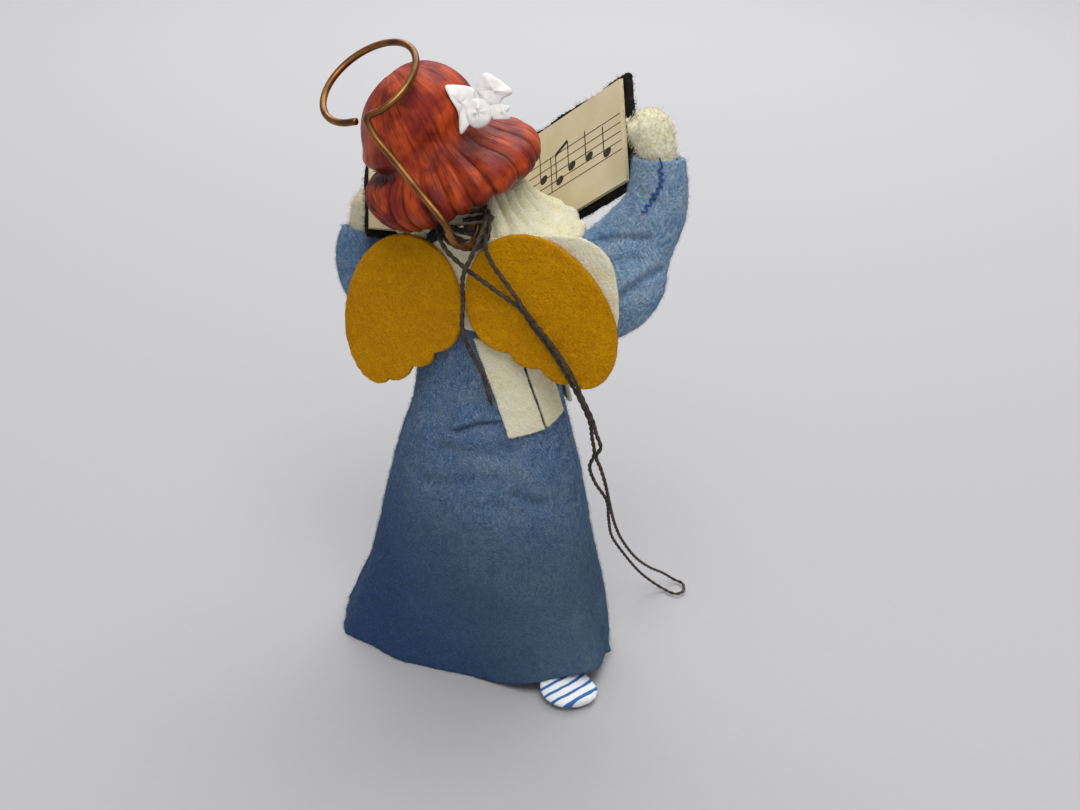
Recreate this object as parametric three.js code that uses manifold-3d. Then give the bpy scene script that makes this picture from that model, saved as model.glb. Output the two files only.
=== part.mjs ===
// A six inch felt caroling angel: a stuffed doll in a blue felt dress, with a cast head, a wire halo,
// mustard felt wings, a cream pinafore and an open song book held in both mittens.
// Millimetres, +Z up. The doll stands on its hem, faces -Y, and its left side is +X.
import * as THREE from 'three';
import { mergeVertices } from 'three/addons/utils/BufferGeometryUtils.js';
import loadManifold from 'manifold-3d';

const wasm = await loadManifold();
wasm.setup();

// Felt, thread and clearance
const clearance = 0.3;
const dressFelt = 1.2;
const creamFelt = 1.2;
const wingFelt = 1.5;

// Dress: half widths and half depths at its stations from hem to neck
const hemHalfWidth = 34;
const hemHalfDepth = 22;
const hemShift = 3;
const dressShift = 1.2;
const kneeHeight = 26;
const kneeHalfWidth = 28;
const kneeHalfDepth = 19;
const hipHeight = 50;
const hipHalfWidth = 23.2;
const hipHalfDepth = 15.6;
const waistHeight = 70;
const waistHalfWidth = 17.4;
const waistHalfDepth = 12.6;
const chestHeight = 90;
const chestHalfWidth = 17;
const chestHalfDepth = 11.6;
const shoulderHeight = 103;
const shoulderHalfWidth = 15.5;
const shoulderHalfDepth = 10.4;
const neckHeight = 110;
const neckRadius = 7;
const hemSquareness = 2.7;
const neckSquareness = 2;
const foldCount = 9;
const foldDepth = 0.9;
const seamFlange = 1.6;
const leanDegrees = 7.4;
// The hem rides up over the right foot, which pokes out behind
const footLiftDegrees = 147;
const footLiftSpread = 30;
const footLift = 6.4;
const footBulge = 7;
const hemTrim = 0.8;

// Torso, legs and their hip hinges
const torsoTopDrop = 2.4;
const hipJointHeight = 53;
const hipJointX = 8.5;
const legRadius = 5;
const ankleRadius = 3.6;
const sockHeight = 4.2;
const sockWidth = 12.4;
const rightToe = [-29.6, 20.4];
const leftToe = [16, -9];

// Head: its centre, the tilt of its axis and the hair that is cast over it
const neckLean = 1.2;
const neckForward = 0.8;
const neckRise = 0.4;
const headLift = 26.6;
const headTiltDegrees = 26;
const headBackDegrees = 12;
const headTurnDegrees = 8;
const headRadius = 10.6;
const neckStemRadius = 4;
const domeLeft = 14;
const domeRight = 14.6;
const domeTop = 12.2;
const napeGroove = 14.4;
const templeNotch = 12.6;
const flipLeft = 18.8;
const flipRight = 23.8;
const flipLeftDrop = 11.6;
const flipRightDrop = 16;
const hairEnd = 20.4;
const strandCount = 26;
const strandDepth = 0.5;
const bowSeat = new THREE.Vector3(-3.2, 8.2, 29.8);
const bowAlong = new THREE.Vector3(-0.745, -0.487, 0.457);
const bowScale = 1.38;
const bowFacing = new THREE.Vector3(-0.3125, 0.8585, 0.4067);
const dowelRadius = 2;
const dowelLength = 20;

// Halo wire
const haloWire = 1.6;
const haloRadius = 12;
// Its points are measured from the foot of the head
const haloCentre = new THREE.Vector3(19, 13.4, 32.5);
const haloJoint = new THREE.Vector3(15.8, 23.3, 26.6);
const haloNormal = new THREE.Vector3(0.3, 0.558, 0.774);
const haloFoot = new THREE.Vector3(-4.9, 24.2, 6);
const haloGapDegrees = 14;
const haloHook = [[-6.9, 10.6, 2.2], [-8.3, 15.2, 1.2], [-7.8, 19.8, 0.4], [-6.3, 23.2, 2.2]];

// Wings
const wingDihedral = 12;
const wingRoll = 8.5;
const leftWingSpan = 36.8;
const rightWingSpan = 35.2;
const leftWingInset = 0.9;
const wingRootDrop = 12.2;
const wingRoot = new THREE.Vector3(2, 15.6, shoulderHeight - wingRootDrop);

// Pinafore
const collarPleats = 24;
const collarNeck = 8.9;
const collarReach = 18;
const collarRightReach = 6;
const collarBackTrim = 8;
const collarPleat = 0.9;
const collarStand = 5.2;
const collarDroop = 2.4;
const collarTilt = 9;
const collarOpenFrom = 50;
const collarOpenTo = 126;
const pinaforeTop = neckHeight - 4;
const pinaforeBottom = shoulderHeight - 16;
const pinaforeLeft = 16;
const sashTop = waistHeight + 16;
const sashEnd = waistHeight - 8;
const apronTop = shoulderHeight - 5;
const apronEnd = waistHeight - 4;

// Song book
const bookRise = 4.3;
const bookCentre = new THREE.Vector3(6.8, -33, shoulderHeight + bookRise);
const bookTilt = 41.5;
const bookRoll = 16.3;
const bookYaw = 8.8;
const bookOpening = 34;
const pageWidth = 39.8;
const pageHeight = 27.1;
const pageStack = 0.9;
const coverBoard = 1.8;
const coverOverhang = 1.4;
const coverRim = 2.6;
const coverTuck = 0.4;

// Sleeves and arms
const cuffRadius = 6.1;
const rightElbowRadius = 9.6;
const rightSleeveRadius = 14;
const leftElbowRadius = 7.8;
const leftSleeveRadius = 9.4;
const rightSquash = 0.5;
const leftSquash = 0.76;
const cuffSquash = 0.97;
const armRadius = 4.4;
const mittenLength = 11;
const mittenRadius = 5.6;

// Waxed cord
const cordDiameter = 1.2;
const bindingTurns = 2;
const bindingPitch = 1.7;
const bindingStart = 100;
const bindingRise = 1.9;

const radians = THREE.MathUtils.degToRad;
const v3 = (x, y, z) => new THREE.Vector3(x, y, z);

// Mesh building: closed bodies from rings and grids of points

function outward(positions, index) {
  const geometry = new THREE.BufferGeometry();
  const flat = positions.flatMap((p) => [p.x, p.y, p.z]);
  geometry.setAttribute('position', new THREE.Float32BufferAttribute(flat, 3));
  let volume = 0;
  for (let i = 0; i < index.length; i += 3) {
    const [a, b, c] = [positions[index[i]], positions[index[i + 1]], positions[index[i + 2]]];
    volume += a.dot(b.clone().cross(c));
  }
  if (volume < 0) {
    index.reverse();
  }
  geometry.setIndex(index);
  return geometry;
}

function quad(index, a, b, c, d) {
  index.push(a, b, c, a, c, d);
}

// A solid through closed rings of equal count, with a fan over each end
function loft(rings) {
  const count = rings[0].length;
  const positions = rings.flat();
  const index = [];
  for (let r = 0; r + 1 < rings.length; r += 1) {
    for (let i = 0; i < count; i += 1) {
      const j = (i + 1) % count;
      quad(index, r * count + i, r * count + j, (r + 1) * count + j, (r + 1) * count + i);
    }
  }
  for (const [r, turn] of [[0, false], [rings.length - 1, true]]) {
    const middle = rings[r].reduce((sum, p) => sum.add(p), v3(0, 0, 0)).divideScalar(count);
    const hub = positions.push(middle) - 1;
    for (let i = 0; i < count; i += 1) {
      const [a, b] = [r * count + i, r * count + ((i + 1) % count)];
      index.push(...(turn ? [a, b, hub] : [b, a, hub]));
    }
  }
  return outward(positions, index);
}

// A felt sheet of even thickness about the surface point(u, v), with u and v from 0 to 1
function feltSheet(point, columns, rows, thickness) {
  const grid = [];
  const step = 0.002;
  for (let r = 0; r <= rows; r += 1) {
    for (let c = 0; c <= columns; c += 1) {
      const [u, v] = [c / columns, r / rows];
      const across = point(Math.min(1, u + step), v).sub(point(Math.max(0, u - step), v));
      const along = point(u, Math.min(1, v + step)).sub(point(u, Math.max(0, v - step)));
      const normal = across.cross(along).normalize();
      grid.push({ p: point(u, v), normal });
    }
  }
  const face = (side) => grid.map((g) => g.p.clone().addScaledVector(g.normal, (side * thickness) / 2));
  const positions = [...face(1), ...face(-1)];
  const under = grid.length;
  const at = (c, r) => r * (columns + 1) + c;
  const index = [];
  for (let r = 0; r < rows; r += 1) {
    for (let c = 0; c < columns; c += 1) {
      const corners = [at(c, r), at(c + 1, r), at(c + 1, r + 1), at(c, r + 1)];
      quad(index, ...corners);
      quad(index, ...corners.map((k) => k + under).reverse());
    }
  }
  const rim = [];
  for (let c = 0; c < columns; c += 1) rim.push(at(c, 0));
  for (let r = 0; r < rows; r += 1) rim.push(at(columns, r));
  for (let c = columns; c > 0; c -= 1) rim.push(at(c, rows));
  for (let r = rows; r > 0; r -= 1) rim.push(at(0, r));
  rim.forEach((a, i) => {
    const b = rim[(i + 1) % rim.length];
    quad(index, b, a, a + under, b + under);
  });
  return outward(positions, index);
}

// An open-ended tube with a felt wall: rings of the outer and of the inner face
function feltTube(outer, inner) {
  const count = outer[0].length;
  const rings = [...outer, ...[...inner].reverse()];
  const positions = rings.flat();
  const index = [];
  for (let r = 0; r < rings.length; r += 1) {
    const next = (r + 1) % rings.length;
    for (let i = 0; i < count; i += 1) {
      const j = (i + 1) % count;
      quad(index, r * count + i, r * count + j, next * count + j, next * count + i);
    }
  }
  return outward(positions, index);
}

// A round tube of n sides along a curve
function tube(curve, diameter, sides, steps) {
  const section = new THREE.Shape();
  for (let i = 0; i < sides; i += 1) {
    const angle = (2 * Math.PI * i) / sides;
    section[i ? 'lineTo' : 'moveTo']((diameter / 2) * Math.cos(angle), (diameter / 2) * Math.sin(angle));
  }
  return new THREE.ExtrudeGeometry(section, { steps, extrudePath: curve, curveSegments: 1 });
}

function solid(geometry) {
  const bare = geometry.clone();
  bare.deleteAttribute('normal');
  bare.deleteAttribute('uv');
  const merged = mergeVertices(bare, 1e-4);
  const vertProperties = new Float32Array(merged.attributes.position.array);
  const triVerts = new Uint32Array(merged.index.array);
  return new wasm.Manifold(new wasm.Mesh({ numProp: 3, vertProperties, triVerts }));
}

function geometryOf(body) {
  const mesh = body.getMesh();
  const geometry = new THREE.BufferGeometry();
  geometry.setAttribute('position', new THREE.BufferAttribute(new Float32Array(mesh.vertProperties), 3));
  geometry.setIndex([...mesh.triVerts]);
  return geometry;
}

function cut(geometry, ...tools) {
  return geometryOf(tools.reduce((body, tool) => body.subtract(solid(tool)), solid(geometry)));
}

function join(geometry, ...others) {
  return geometryOf(others.reduce((body, other) => body.add(solid(other)), solid(geometry)));
}

// Smooth value through [height, value] stations, level at each end
function stationValue(stations, height) {
  const last = stations.length - 1;
  if (height <= stations[0][0]) return stations[0][1];
  if (height >= stations[last][0]) return stations[last][1];
  const k = stations.findIndex((s) => s[0] > height) - 1;
  const slope = (i) => {
    const [a, b] = [stations[Math.max(0, i - 1)], stations[Math.min(last, i + 1)]];
    return (b[1] - a[1]) / (b[0] - a[0]);
  };
  const span = stations[k + 1][0] - stations[k][0];
  const t = (height - stations[k][0]) / span;
  const [p, q] = [stations[k][1], stations[k + 1][1]];
  const [m, n] = [slope(k) * span, slope(k + 1) * span];
  return p + t * m + t * t * (3 * (q - p) - 2 * m - n) + t * t * t * (m + n - 2 * (q - p));
}

// The dress surface

const widthStations = [
  [0, hemHalfWidth], [kneeHeight, kneeHalfWidth], [hipHeight, hipHalfWidth], [waistHeight, waistHalfWidth],
  [chestHeight, chestHalfWidth], [shoulderHeight, shoulderHalfWidth], [neckHeight, neckRadius],
];
const depthStations = [
  [0, hemHalfDepth], [kneeHeight, kneeHalfDepth], [hipHeight, hipHalfDepth], [waistHeight, waistHalfDepth],
  [chestHeight, chestHalfDepth], [shoulderHeight, shoulderHalfDepth], [neckHeight, neckRadius],
];

function bump(degrees, centre, spread) {
  return Math.exp(-(((degrees - centre) / spread) ** 2));
}

// The dress leans to its left above the waist, and its hem sits a little to the left
function dressCentreX(height) {
  const lean = Math.tan(radians(leanDegrees)) * Math.max(0, height - waistHeight);
  const low = Math.max(0, 1 - height / kneeHeight);
  return dressShift + lean + hemShift * low * low;
}

// Felt mid surface at an angle about the axis (0 left, 90 back, 180 right) and a height, moved out by lift
function dressPoint(degrees, height, lift = 0) {
  const angle = radians(degrees);
  const low = Math.max(0, 1 - height / hipHeight);
  const power = 2 / THREE.MathUtils.lerp(neckSquareness, hemSquareness, low);
  const fold = foldDepth * low * Math.cos(foldCount * angle);
  const nearHem = Math.max(0, 1 - height / kneeHeight) ** 2;
  const kick = nearHem * bump(degrees, footLiftDegrees, footLiftSpread);
  const grow = lift + fold + footBulge * kick;
  const a = stationValue(widthStations, height) + grow;
  const b = stationValue(depthStations, height) + grow;
  const [c, s] = [Math.cos(angle), Math.sin(angle)];
  return v3(
    dressCentreX(height) + a * Math.sign(c) * Math.abs(c) ** power,
    b * Math.sign(s) * Math.abs(s) ** power,
    height + footLift * kick,
  );
}

function dressNormal(degrees, height) {
  const around = dressPoint(degrees + 0.5, height).sub(dressPoint(degrees - 0.5, height));
  const up = dressPoint(degrees, height + 0.25).sub(dressPoint(degrees, height - 0.25));
  return around.cross(up).normalize();
}

// A point on cloth that lies on the dress, its middle this far out from the dress's felt mid surface
function onDress(degrees, height, lift) {
  return dressPoint(degrees, height).addScaledVector(dressNormal(degrees, height), lift);
}

const dressColumns = 20;
const dressRows = 13;

// One panel of the dress, front or back, with its side seam allowances turned out
function dressPanel(side) {
  const seamMid = side * (dressFelt / 2 + clearance / 2);
  const start = side > 0 ? 0 : 180;
  const inset = THREE.MathUtils.radToDeg(Math.asin(Math.abs(seamMid) / neckRadius));
  const edge = 1.5 / dressColumns;
  const panel = feltSheet((u, v) => {
    const height = THREE.MathUtils.lerp(-hemTrim, neckHeight, v ** 1.1);
    const flange = seamFlange * Math.max(0, 1 - height / shoulderHeight);
    const turn = THREE.MathUtils.clamp((u - edge) / (1 - 2 * edge), 0, 1);
    const point = dressPoint(start + inset + turn * (180 - 2 * inset), height);
    const beyond = u < edge ? (edge - u) / edge : Math.max(0, u - 1 + edge) / edge;
    const way = (u < 0.5) === (side > 0) ? 1 : -1;
    point.x += way * flange * beyond;
    if (turn === 0 || turn === 1) {
      point.y = seamMid;
    }
    return point;
  }, dressColumns, dressRows, dressFelt);
  // the hem is trimmed level so that the doll stands on it
  const floor = new THREE.BoxGeometry(6 * hemHalfWidth, 6 * hemHalfWidth, 10).translate(0, 0, -5);
  return cut(panel, floor);
}

// The space that the dress fills to its outer face and this much beyond, as a solid for cutting
function dressBlock(extra) {
  const rings = [];
  for (let r = 0; r <= dressRows; r += 1) {
    const height = neckHeight * (r / dressRows) ** 0.8;
    const ring = [];
    for (let i = 0; i < 40; i += 1) {
      ring.push(dressPoint(i * 9, height, dressFelt / 2 + extra));
    }
    rings.push(ring);
  }
  return loft(rings);
}

// Paths of limbs

function ringsAlong(points, radii, sides, count, squash = [[0, 1], [1, 1]], grow = 0) {
  const curve = new THREE.CatmullRomCurve3(points, false, 'centripetal');
  const rings = [];
  for (let r = 0; r <= count; r += 1) {
    const t = r / count;
    const tangent = curve.getTangent(t);
    const side = v3(0, 1, 0).addScaledVector(tangent, -tangent.y).normalize();
    const over = tangent.clone().cross(side);
    const radius = stationValue(radii, t) + grow;
    const ring = [];
    for (let i = 0; i < sides; i += 1) {
      const angle = (2 * Math.PI * i) / sides;
      const offset = side.clone().multiplyScalar(radius * stationValue(squash, t) * Math.cos(angle));
      ring.push(curve.getPoint(t).add(offset).addScaledVector(over, radius * Math.sin(angle)));
    }
    rings.push(ring);
  }
  return rings;
}

// Points of an arm's middle line, their heights measured from the shoulder
const fromShoulder = (x, y, rise) => v3(x, y, shoulderHeight + rise);
const rightArmPath = [
  fromShoulder(-18.7, 0.5, -6.6), fromShoulder(-26.8, -3, -2.7), fromShoulder(-30.5, -6.2, 4.5),
  fromShoulder(-35.2, -8, 14.5), fromShoulder(-34.6, -9, 25.4),
];
const leftArmPath = [
  fromShoulder(16.8, 0.5, -14), fromShoulder(27.7, -4, -17.9), fromShoulder(37, -7.8, -16.4),
  fromShoulder(41.3, -10.4, -10.8), fromShoulder(40.7, -12, -3.8),
];
const sleeveRadii = (upper, elbow) => [[0, upper], [0.28, upper], [0.52, elbow], [1, cuffRadius]];
const rightRadii = sleeveRadii(rightSleeveRadius, rightElbowRadius);
const leftRadii = sleeveRadii(leftSleeveRadius, leftElbowRadius);
const rightSection = [[0, rightSquash], [0.3, rightSquash], [1, cuffSquash]];
const leftSection = [[0, leftSquash], [0.3, leftSquash], [1, cuffSquash]];
const sleeveSides = 16;
const sleeveSteps = 9;

// Felt sleeve: a slack tube that is stitched to the dress at its armhole
function sleeve(path, radii, section) {
  const outer = ringsAlong(path, radii, sleeveSides, sleeveSteps, section);
  const inner = ringsAlong(path, radii, sleeveSides, sleeveSteps, section, -dressFelt);
  return feltTube(outer, inner);
}

// Stuffed fleece arm inside its sleeve, ending in a mitten with a thumb
function arm(path, fingers, thumb) {
  const wrist = path[path.length - 1];
  const tip = wrist.clone().addScaledVector(fingers, mittenLength);
  const radii = [[0, armRadius], [0.62, armRadius], [0.8, armRadius * 0.92], [0.92, mittenRadius], [1, 2.2]];
  const limb = loft(ringsAlong([...path, tip], radii, 12, 14));
  const root = wrist.clone().addScaledVector(fingers, mittenLength * 0.35);
  const thumbTip = root.clone().addScaledVector(thumb, mittenRadius + 2.6).addScaledVector(fingers, 3);
  const thumbRadii = [[0, 1.8], [0.7, 2.3], [1, 1.1]];
  const middle = root.clone().lerp(thumbTip, 0.5);
  return join(limb, loft(ringsAlong([root, middle, thumbTip], thumbRadii, 8, 4)));
}

// Legs

function leg(hipX, toe) {
  const hip = v3(hipX, 1, hipJointHeight);
  const ankle = v3(THREE.MathUtils.lerp(hipX, toe[0], 0.56), toe[1] * 0.56, sockHeight + 6);
  const knee = hip.clone().lerp(ankle, 0.5);
  const heading = v3(toe[0] - hipX, toe[1], 0).normalize();
  const rings = [];
  // rounded hip end
  const down = knee.clone().sub(hip).normalize();
  const across = v3(heading.y, -heading.x, 0);
  const forward = across.clone().cross(down);
  const ringAt = (centre, rx, ry) => {
    const ring = [];
    for (let i = 0; i < 12; i += 1) {
      const angle = (2 * Math.PI * i) / 12;
      const offset = across.clone().multiplyScalar(rx * Math.cos(angle));
      ring.push(centre.clone().add(offset).addScaledVector(forward, ry * Math.sin(angle)));
    }
    return ring;
  };
  for (const polar of [75, 50, 25]) {
    const rise = legRadius * Math.sin(radians(polar));
    const width = legRadius * Math.cos(radians(polar));
    rings.push(ringAt(hip.clone().addScaledVector(down, -rise), width, width));
  }
  rings.push(ringAt(hip, legRadius, legRadius));
  rings.push(ringAt(knee, legRadius * 0.96, legRadius * 0.96));
  rings.push(ringAt(ankle, ankleRadius, ankleRadius));
  // sock foot, lying flat on the floor
  const flat = (distance, halfWidth, low, high) => {
    const centre = v3(toe[0], toe[1], 0).addScaledVector(heading, distance);
    const ring = [];
    for (let i = 0; i < 12; i += 1) {
      const angle = (2 * Math.PI * i) / 12;
      const point = centre.clone().addScaledVector(across, halfWidth * Math.cos(angle));
      point.z = (low + high) / 2 + ((high - low) / 2) * Math.sin(angle);
      ring.push(point);
    }
    return ring;
  };
  rings.push(flat(-6.5, ankleRadius * 1.15, 1.2, sockHeight + 3.4));
  rings.push(flat(-3, sockWidth / 2 - 0.6, 0.3, sockHeight + 0.6));
  rings.push(flat(1, sockWidth / 2, 0, sockHeight));
  rings.push(flat(4.4, sockWidth / 2 - 1, 0.2, sockHeight - 0.3));
  rings.push(flat(6.6, sockWidth / 4, 1, sockHeight - 1.2));
  return loft(rings);
}

// Torso under the dress, with the neck dowel's bore

const headUp = v3(Math.tan(radians(headTiltDegrees)), Math.tan(radians(headBackDegrees)), 1).normalize();
const neckPivot = v3(dressCentreX(neckHeight) + neckLean, neckForward, neckHeight + neckRise);
const fromNeck = (offset) => offset.clone().add(neckPivot);
const headCentre = neckPivot.clone().addScaledVector(headUp, headLift);

function dowel(radius, length) {
  const rod = new THREE.CylinderGeometry(radius, radius, length, 16);
  rod.applyQuaternion(new THREE.Quaternion().setFromUnitVectors(v3(0, 1, 0), headUp));
  return rod.translate(neckPivot.x, neckPivot.y, neckPivot.z);
}

function torso() {
  const rings = [];
  const torsoBottom = hipJointHeight + legRadius + clearance;
  const torsoTop = neckHeight - torsoTopDrop;
  const room = dressFelt / 2 + clearance;
  const stations = [
    [torsoBottom, 5], [torsoBottom + 4, 1.6], [waistHeight, 0.4], [chestHeight, 0.4],
    [shoulderHeight, 1.4], [torsoTop - 2, 2], [torsoTop, 2.6],
  ];
  for (const [height, inset] of stations) {
    const ring = [];
    for (let i = 0; i < 18; i += 1) {
      ring.push(dressPoint(i * 20, height, -room - inset));
    }
    rings.push(ring);
  }
  return cut(loft(rings), dowel(dowelRadius + clearance, dowelLength + 2 * clearance));
}

// Head pieces, in the head's own frame: z up its axis, -y to the face

function lathe(profile, sides) {
  const spun = new THREE.LatheGeometry(profile.map(([r, z]) => new THREE.Vector2(r, z)), sides);
  return spun.rotateX(Math.PI / 2);
}

function headForm(grow) {
  const stem = neckStemRadius + grow;
  const profile = [[0, -headLift - grow], [stem, -headLift - grow], [stem, -13]];
  for (let polar = -55; polar <= 80; polar += 15) {
    const [c, s] = [Math.cos(radians(polar)), Math.sin(radians(polar))];
    profile.push([(headRadius + grow) * c, (headRadius + grow) * s - 0.6]);
  }
  profile.push([0, headRadius + grow - 0.6]);
  return lathe(profile, 24);
}

// Rolled bob: a smooth dome over a tight roll on the left and a full flip on the right, with strand lumps
// that grow towards the ends. Each ring: reach to the left and right, height there, share of the lumps
function hairForm(grow) {
  const rings = [
    [flipLeft - 9.3, flipRight - 7.3, 1.4 - hairEnd, 1.6 - hairEnd, 0.4],
    [flipLeft - 5.2, flipRight - 2.8, -hairEnd, -hairEnd, 0.9],
    [flipLeft - 2.2, flipRight - 0.6, -hairEnd + 2.4, -flipRightDrop - 2.8, 1],
    [flipLeft - 0.6, flipRight, -flipLeftDrop - 3.4, -flipRightDrop, 1],
    [flipLeft, flipRight - 1.6, -flipLeftDrop, -flipRightDrop + 3.2, 1],
    [flipLeft - 1.2, flipRight - 6.2, -flipLeftDrop + 2.8, -flipRightDrop + 6.2, 0.8],
    [napeGroove, templeNotch + 1.4, -6.8, -6.4, 0.5],
    [domeLeft + 0.8, templeNotch, -4.6, -3.2, 0.35],
    [domeLeft, domeRight, -0.6, -0.8, 0.2],
    [domeLeft * 0.88, domeRight * 0.97, 3.6, 3.4, 0.2],
    [domeLeft * 0.7, domeRight * 0.85, 6.8, 7.2, 0.2],
    [domeLeft * 0.49, domeRight * 0.66, 9.1, 10, 0.2],
    [domeLeft * 0.27, domeRight * 0.44, domeTop - 1.6, domeTop - 0.5, 0.2],
    [domeLeft * 0.1, domeRight * 0.2, domeTop - 1, domeTop, 0.1],
  ].map(([left, right, leftHeight, rightHeight, share]) => {
    const ring = [];
    for (let i = 0; i < 2 * strandCount; i += 1) {
      const angle = (Math.PI * i) / strandCount;
      const lump = strandDepth * share * Math.cos(strandCount * angle);
      const reach = (left + right) / 2 + lump + grow;
      const toLeft = (1 + Math.cos(angle)) / 2;
      const height = THREE.MathUtils.lerp(rightHeight, leftHeight, toLeft);
      const x = (left - right) / 2 + reach * Math.cos(angle);
      ring.push(v3(x, reach * Math.sin(angle), height + lump * 0.4));
    }
    return ring;
  });
  return loft(rings);
}

// Hair cast over the head: the face shows between the fringe and the two cheek lobes
function hair() {
  const face = new THREE.Shape();
  face.moveTo(-7.5, -30);
  face.bezierCurveTo(-8, -16, -12.4, -6, -10.8, 0.5);
  face.bezierCurveTo(-8, 5.2, 8, 5.2, 10.8, 0.5);
  face.bezierCurveTo(12.4, -6, 8, -16, 7.5, -30);
  const window = new THREE.ExtrudeGeometry(face, { depth: 40, bevelEnabled: false, curveSegments: 8 });
  window.rotateX(Math.PI / 2).translate(0, -3.5, 0);
  const hollow = lathe([[0, -26], [13, -26], [12.4, -17], [11, -14.6], [0, -14.6]], 24);
  return cut(hairForm(0), headForm(clearance), window, hollow);
}

// White bow: two folded loops, two notched ends and the knot between them
function bow() {
  const loop = (side) => {
    const rings = [];
    const stations = [[0.4, 1.2, 1], [2, 2.3, 1.6], [4, 3.3, 1.9], [5.5, 3.5, 1.4], [6.1, 2.8, 0.8]];
    for (const [x, half, thick] of stations) {
      const ring = [];
      for (let i = 0; i < 10; i += 1) {
        const angle = (2 * Math.PI * i) / 10;
        const crease = 1 - 0.22 * Math.cos(angle * 3) ** 2;
        ring.push(v3(side * x, half * Math.cos(angle) * crease, thick * Math.sin(angle) * crease));
      }
      rings.push(ring);
    }
    return loft(rings);
  };
  const end = (side) => {
    const ribbon = new THREE.Shape();
    ribbon.moveTo(0, 0.6);
    ribbon.lineTo(side * 3, -5.4);
    ribbon.lineTo(side * 4, -4.2);
    ribbon.lineTo(side * 5.4, -4.4);
    ribbon.lineTo(side * 1.6, 0.8);
    return new THREE.ExtrudeGeometry(ribbon, { depth: 0.7, bevelEnabled: false }).translate(0, 0, -1);
  };
  const knot = new THREE.SphereGeometry(1.7, 12, 8).scale(0.9, 1.05, 1.25);
  return join(knot, loop(1), loop(-1), end(1), end(-1)).scale(bowScale, bowScale, bowScale);
}

// Halo: an open wire ring on a straight stem, hooked under the hair at the nape

function halo() {
  const toCentre = haloCentre.clone().sub(haloJoint).normalize();
  const across = toCentre.clone().cross(haloNormal).normalize();
  const [foot, joint] = [fromNeck(haloFoot), fromNeck(haloJoint)];
  const centre = joint.clone().addScaledVector(toCentre, haloRadius);
  const points = [...haloHook.map((p) => fromNeck(v3(...p))), foot];
  for (const share of [0.3, 0.6, 0.86]) {
    points.push(foot.clone().lerp(joint, share));
  }
  const steps = 20;
  for (let i = 0; i <= steps; i += 1) {
    const angle = Math.PI - radians(haloGapDegrees / 2 + ((360 - haloGapDegrees) * i) / steps);
    const reach = toCentre.clone().multiplyScalar(haloRadius * Math.cos(angle));
    points.push(centre.clone().add(reach).addScaledVector(across, haloRadius * Math.sin(angle)));
  }
  return tube(new THREE.CatmullRomCurve3(points, false, 'centripetal'), haloWire, 8, 52);
}

// Reflected left to right, with its faces still pointing out
function mirrored(geometry) {
  const flipped = geometry.index ? geometry.toNonIndexed() : geometry.clone();
  flipped.scale(-1, 1, 1);
  const p = flipped.attributes.position;
  for (let i = 0; i < p.count; i += 3) {
    const first = v3().fromBufferAttribute(p, i);
    p.setXYZ(i, p.getX(i + 1), p.getY(i + 1), p.getZ(i + 1));
    p.setXYZ(i + 1, first.x, first.y, first.z);
  }
  return flipped;
}

// Wing: a rounded outer edge and four scallops along the bottom, in the wing's plane, cut to its span

function wing(span) {
  const outline = new THREE.Shape();
  outline.moveTo(1, 3);
  outline.bezierCurveTo(0.6, 12, 6, 20, 0.42 * span, 20);
  outline.bezierCurveTo(0.73 * span, 20, span - 0.2, 6, span, -5);
  outline.bezierCurveTo(span, -12, span - 3.4, -18, span - 8.2, -18);
  outline.quadraticCurveTo(span - 10.6, -18, span - 11.6, -16.4);
  outline.bezierCurveTo(span - 14.2, -17.4, 0.5 * span, -15.6, 0.47 * span, -12.2);
  outline.bezierCurveTo(0.4 * span, -13, 0.3 * span, -11.6, 0.28 * span, -8.2);
  outline.bezierCurveTo(0.17 * span, -8.4, 1.2, -4, 1, 3);
  const plate = new THREE.ExtrudeGeometry(outline, {
    depth: wingFelt, bevelEnabled: false, curveSegments: 9,
  });
  return plate.translate(0, 0, -wingFelt / 2).rotateX(Math.PI / 2);
}

// Pinafore: gathered collar, back and front panels and two sash ends

const creamLift = dressFelt / 2 + clearance + creamFelt / 2;

// Gather: the short pleated tube of cream felt that the cord is wound round
function neckGather() {
  const [over, under] = [[], []];
  for (const height of [0.4, collarStand / 2, collarStand]) {
    const [outer, inner] = [[], []];
    for (let i = 0; i < 2 * collarPleats; i += 1) {
      const angle = (Math.PI * i) / collarPleats;
      const wave = collarPleat * 0.2 * (i % 2 ? 1 : -1);
      for (const [ring, way] of [[outer, 1], [inner, -1]]) {
        const radius = collarNeck + wave + (way * creamFelt) / 2;
        ring.push(v3(radius * Math.cos(angle), radius * Math.sin(angle), height));
      }
    }
    over.push(outer);
    under.push(inner);
  }
  return feltTube(over, under);
}

// Collar: falls from the top of the gather over the cord and out over the shoulders, open at the nape
function collar() {
  const outside = collarNeck + creamFelt / 2 + cordDiameter + 4 * clearance;
  const top = collarStand + creamFelt / 2 + 2 * clearance;
  const turn = 360 - collarOpenTo + collarOpenFrom;
  return feltSheet((u, v) => {
    const angle = radians(collarOpenTo + turn * u);
    const [c, s] = [Math.cos(angle), Math.sin(angle)];
    const right = c < 0 ? collarRightReach * c * c : 0;
    const back = s > 0 ? collarBackTrim * s * s : 0;
    const reach = Math.max(collarReach + right - back, outside + 2);
    const radii = [[0, collarNeck + creamFelt / 2], [0.2, outside], [0.45, outside + 1], [1, reach]];
    const heights = [[0, top], [0.2, top - 0.4], [0.45, top - 3.6], [1, -collarDroop]];
    const wave = collarPleat * THREE.MathUtils.lerp(0.2, 1, v) * Math.cos(collarPleats * angle);
    const radius = stationValue(radii, v) + wave * 0.6;
    return v3(radius * c, radius * s, stationValue(heights, v) + wave * 0.6 * v);
  }, 80, 6, creamFelt);
}

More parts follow.
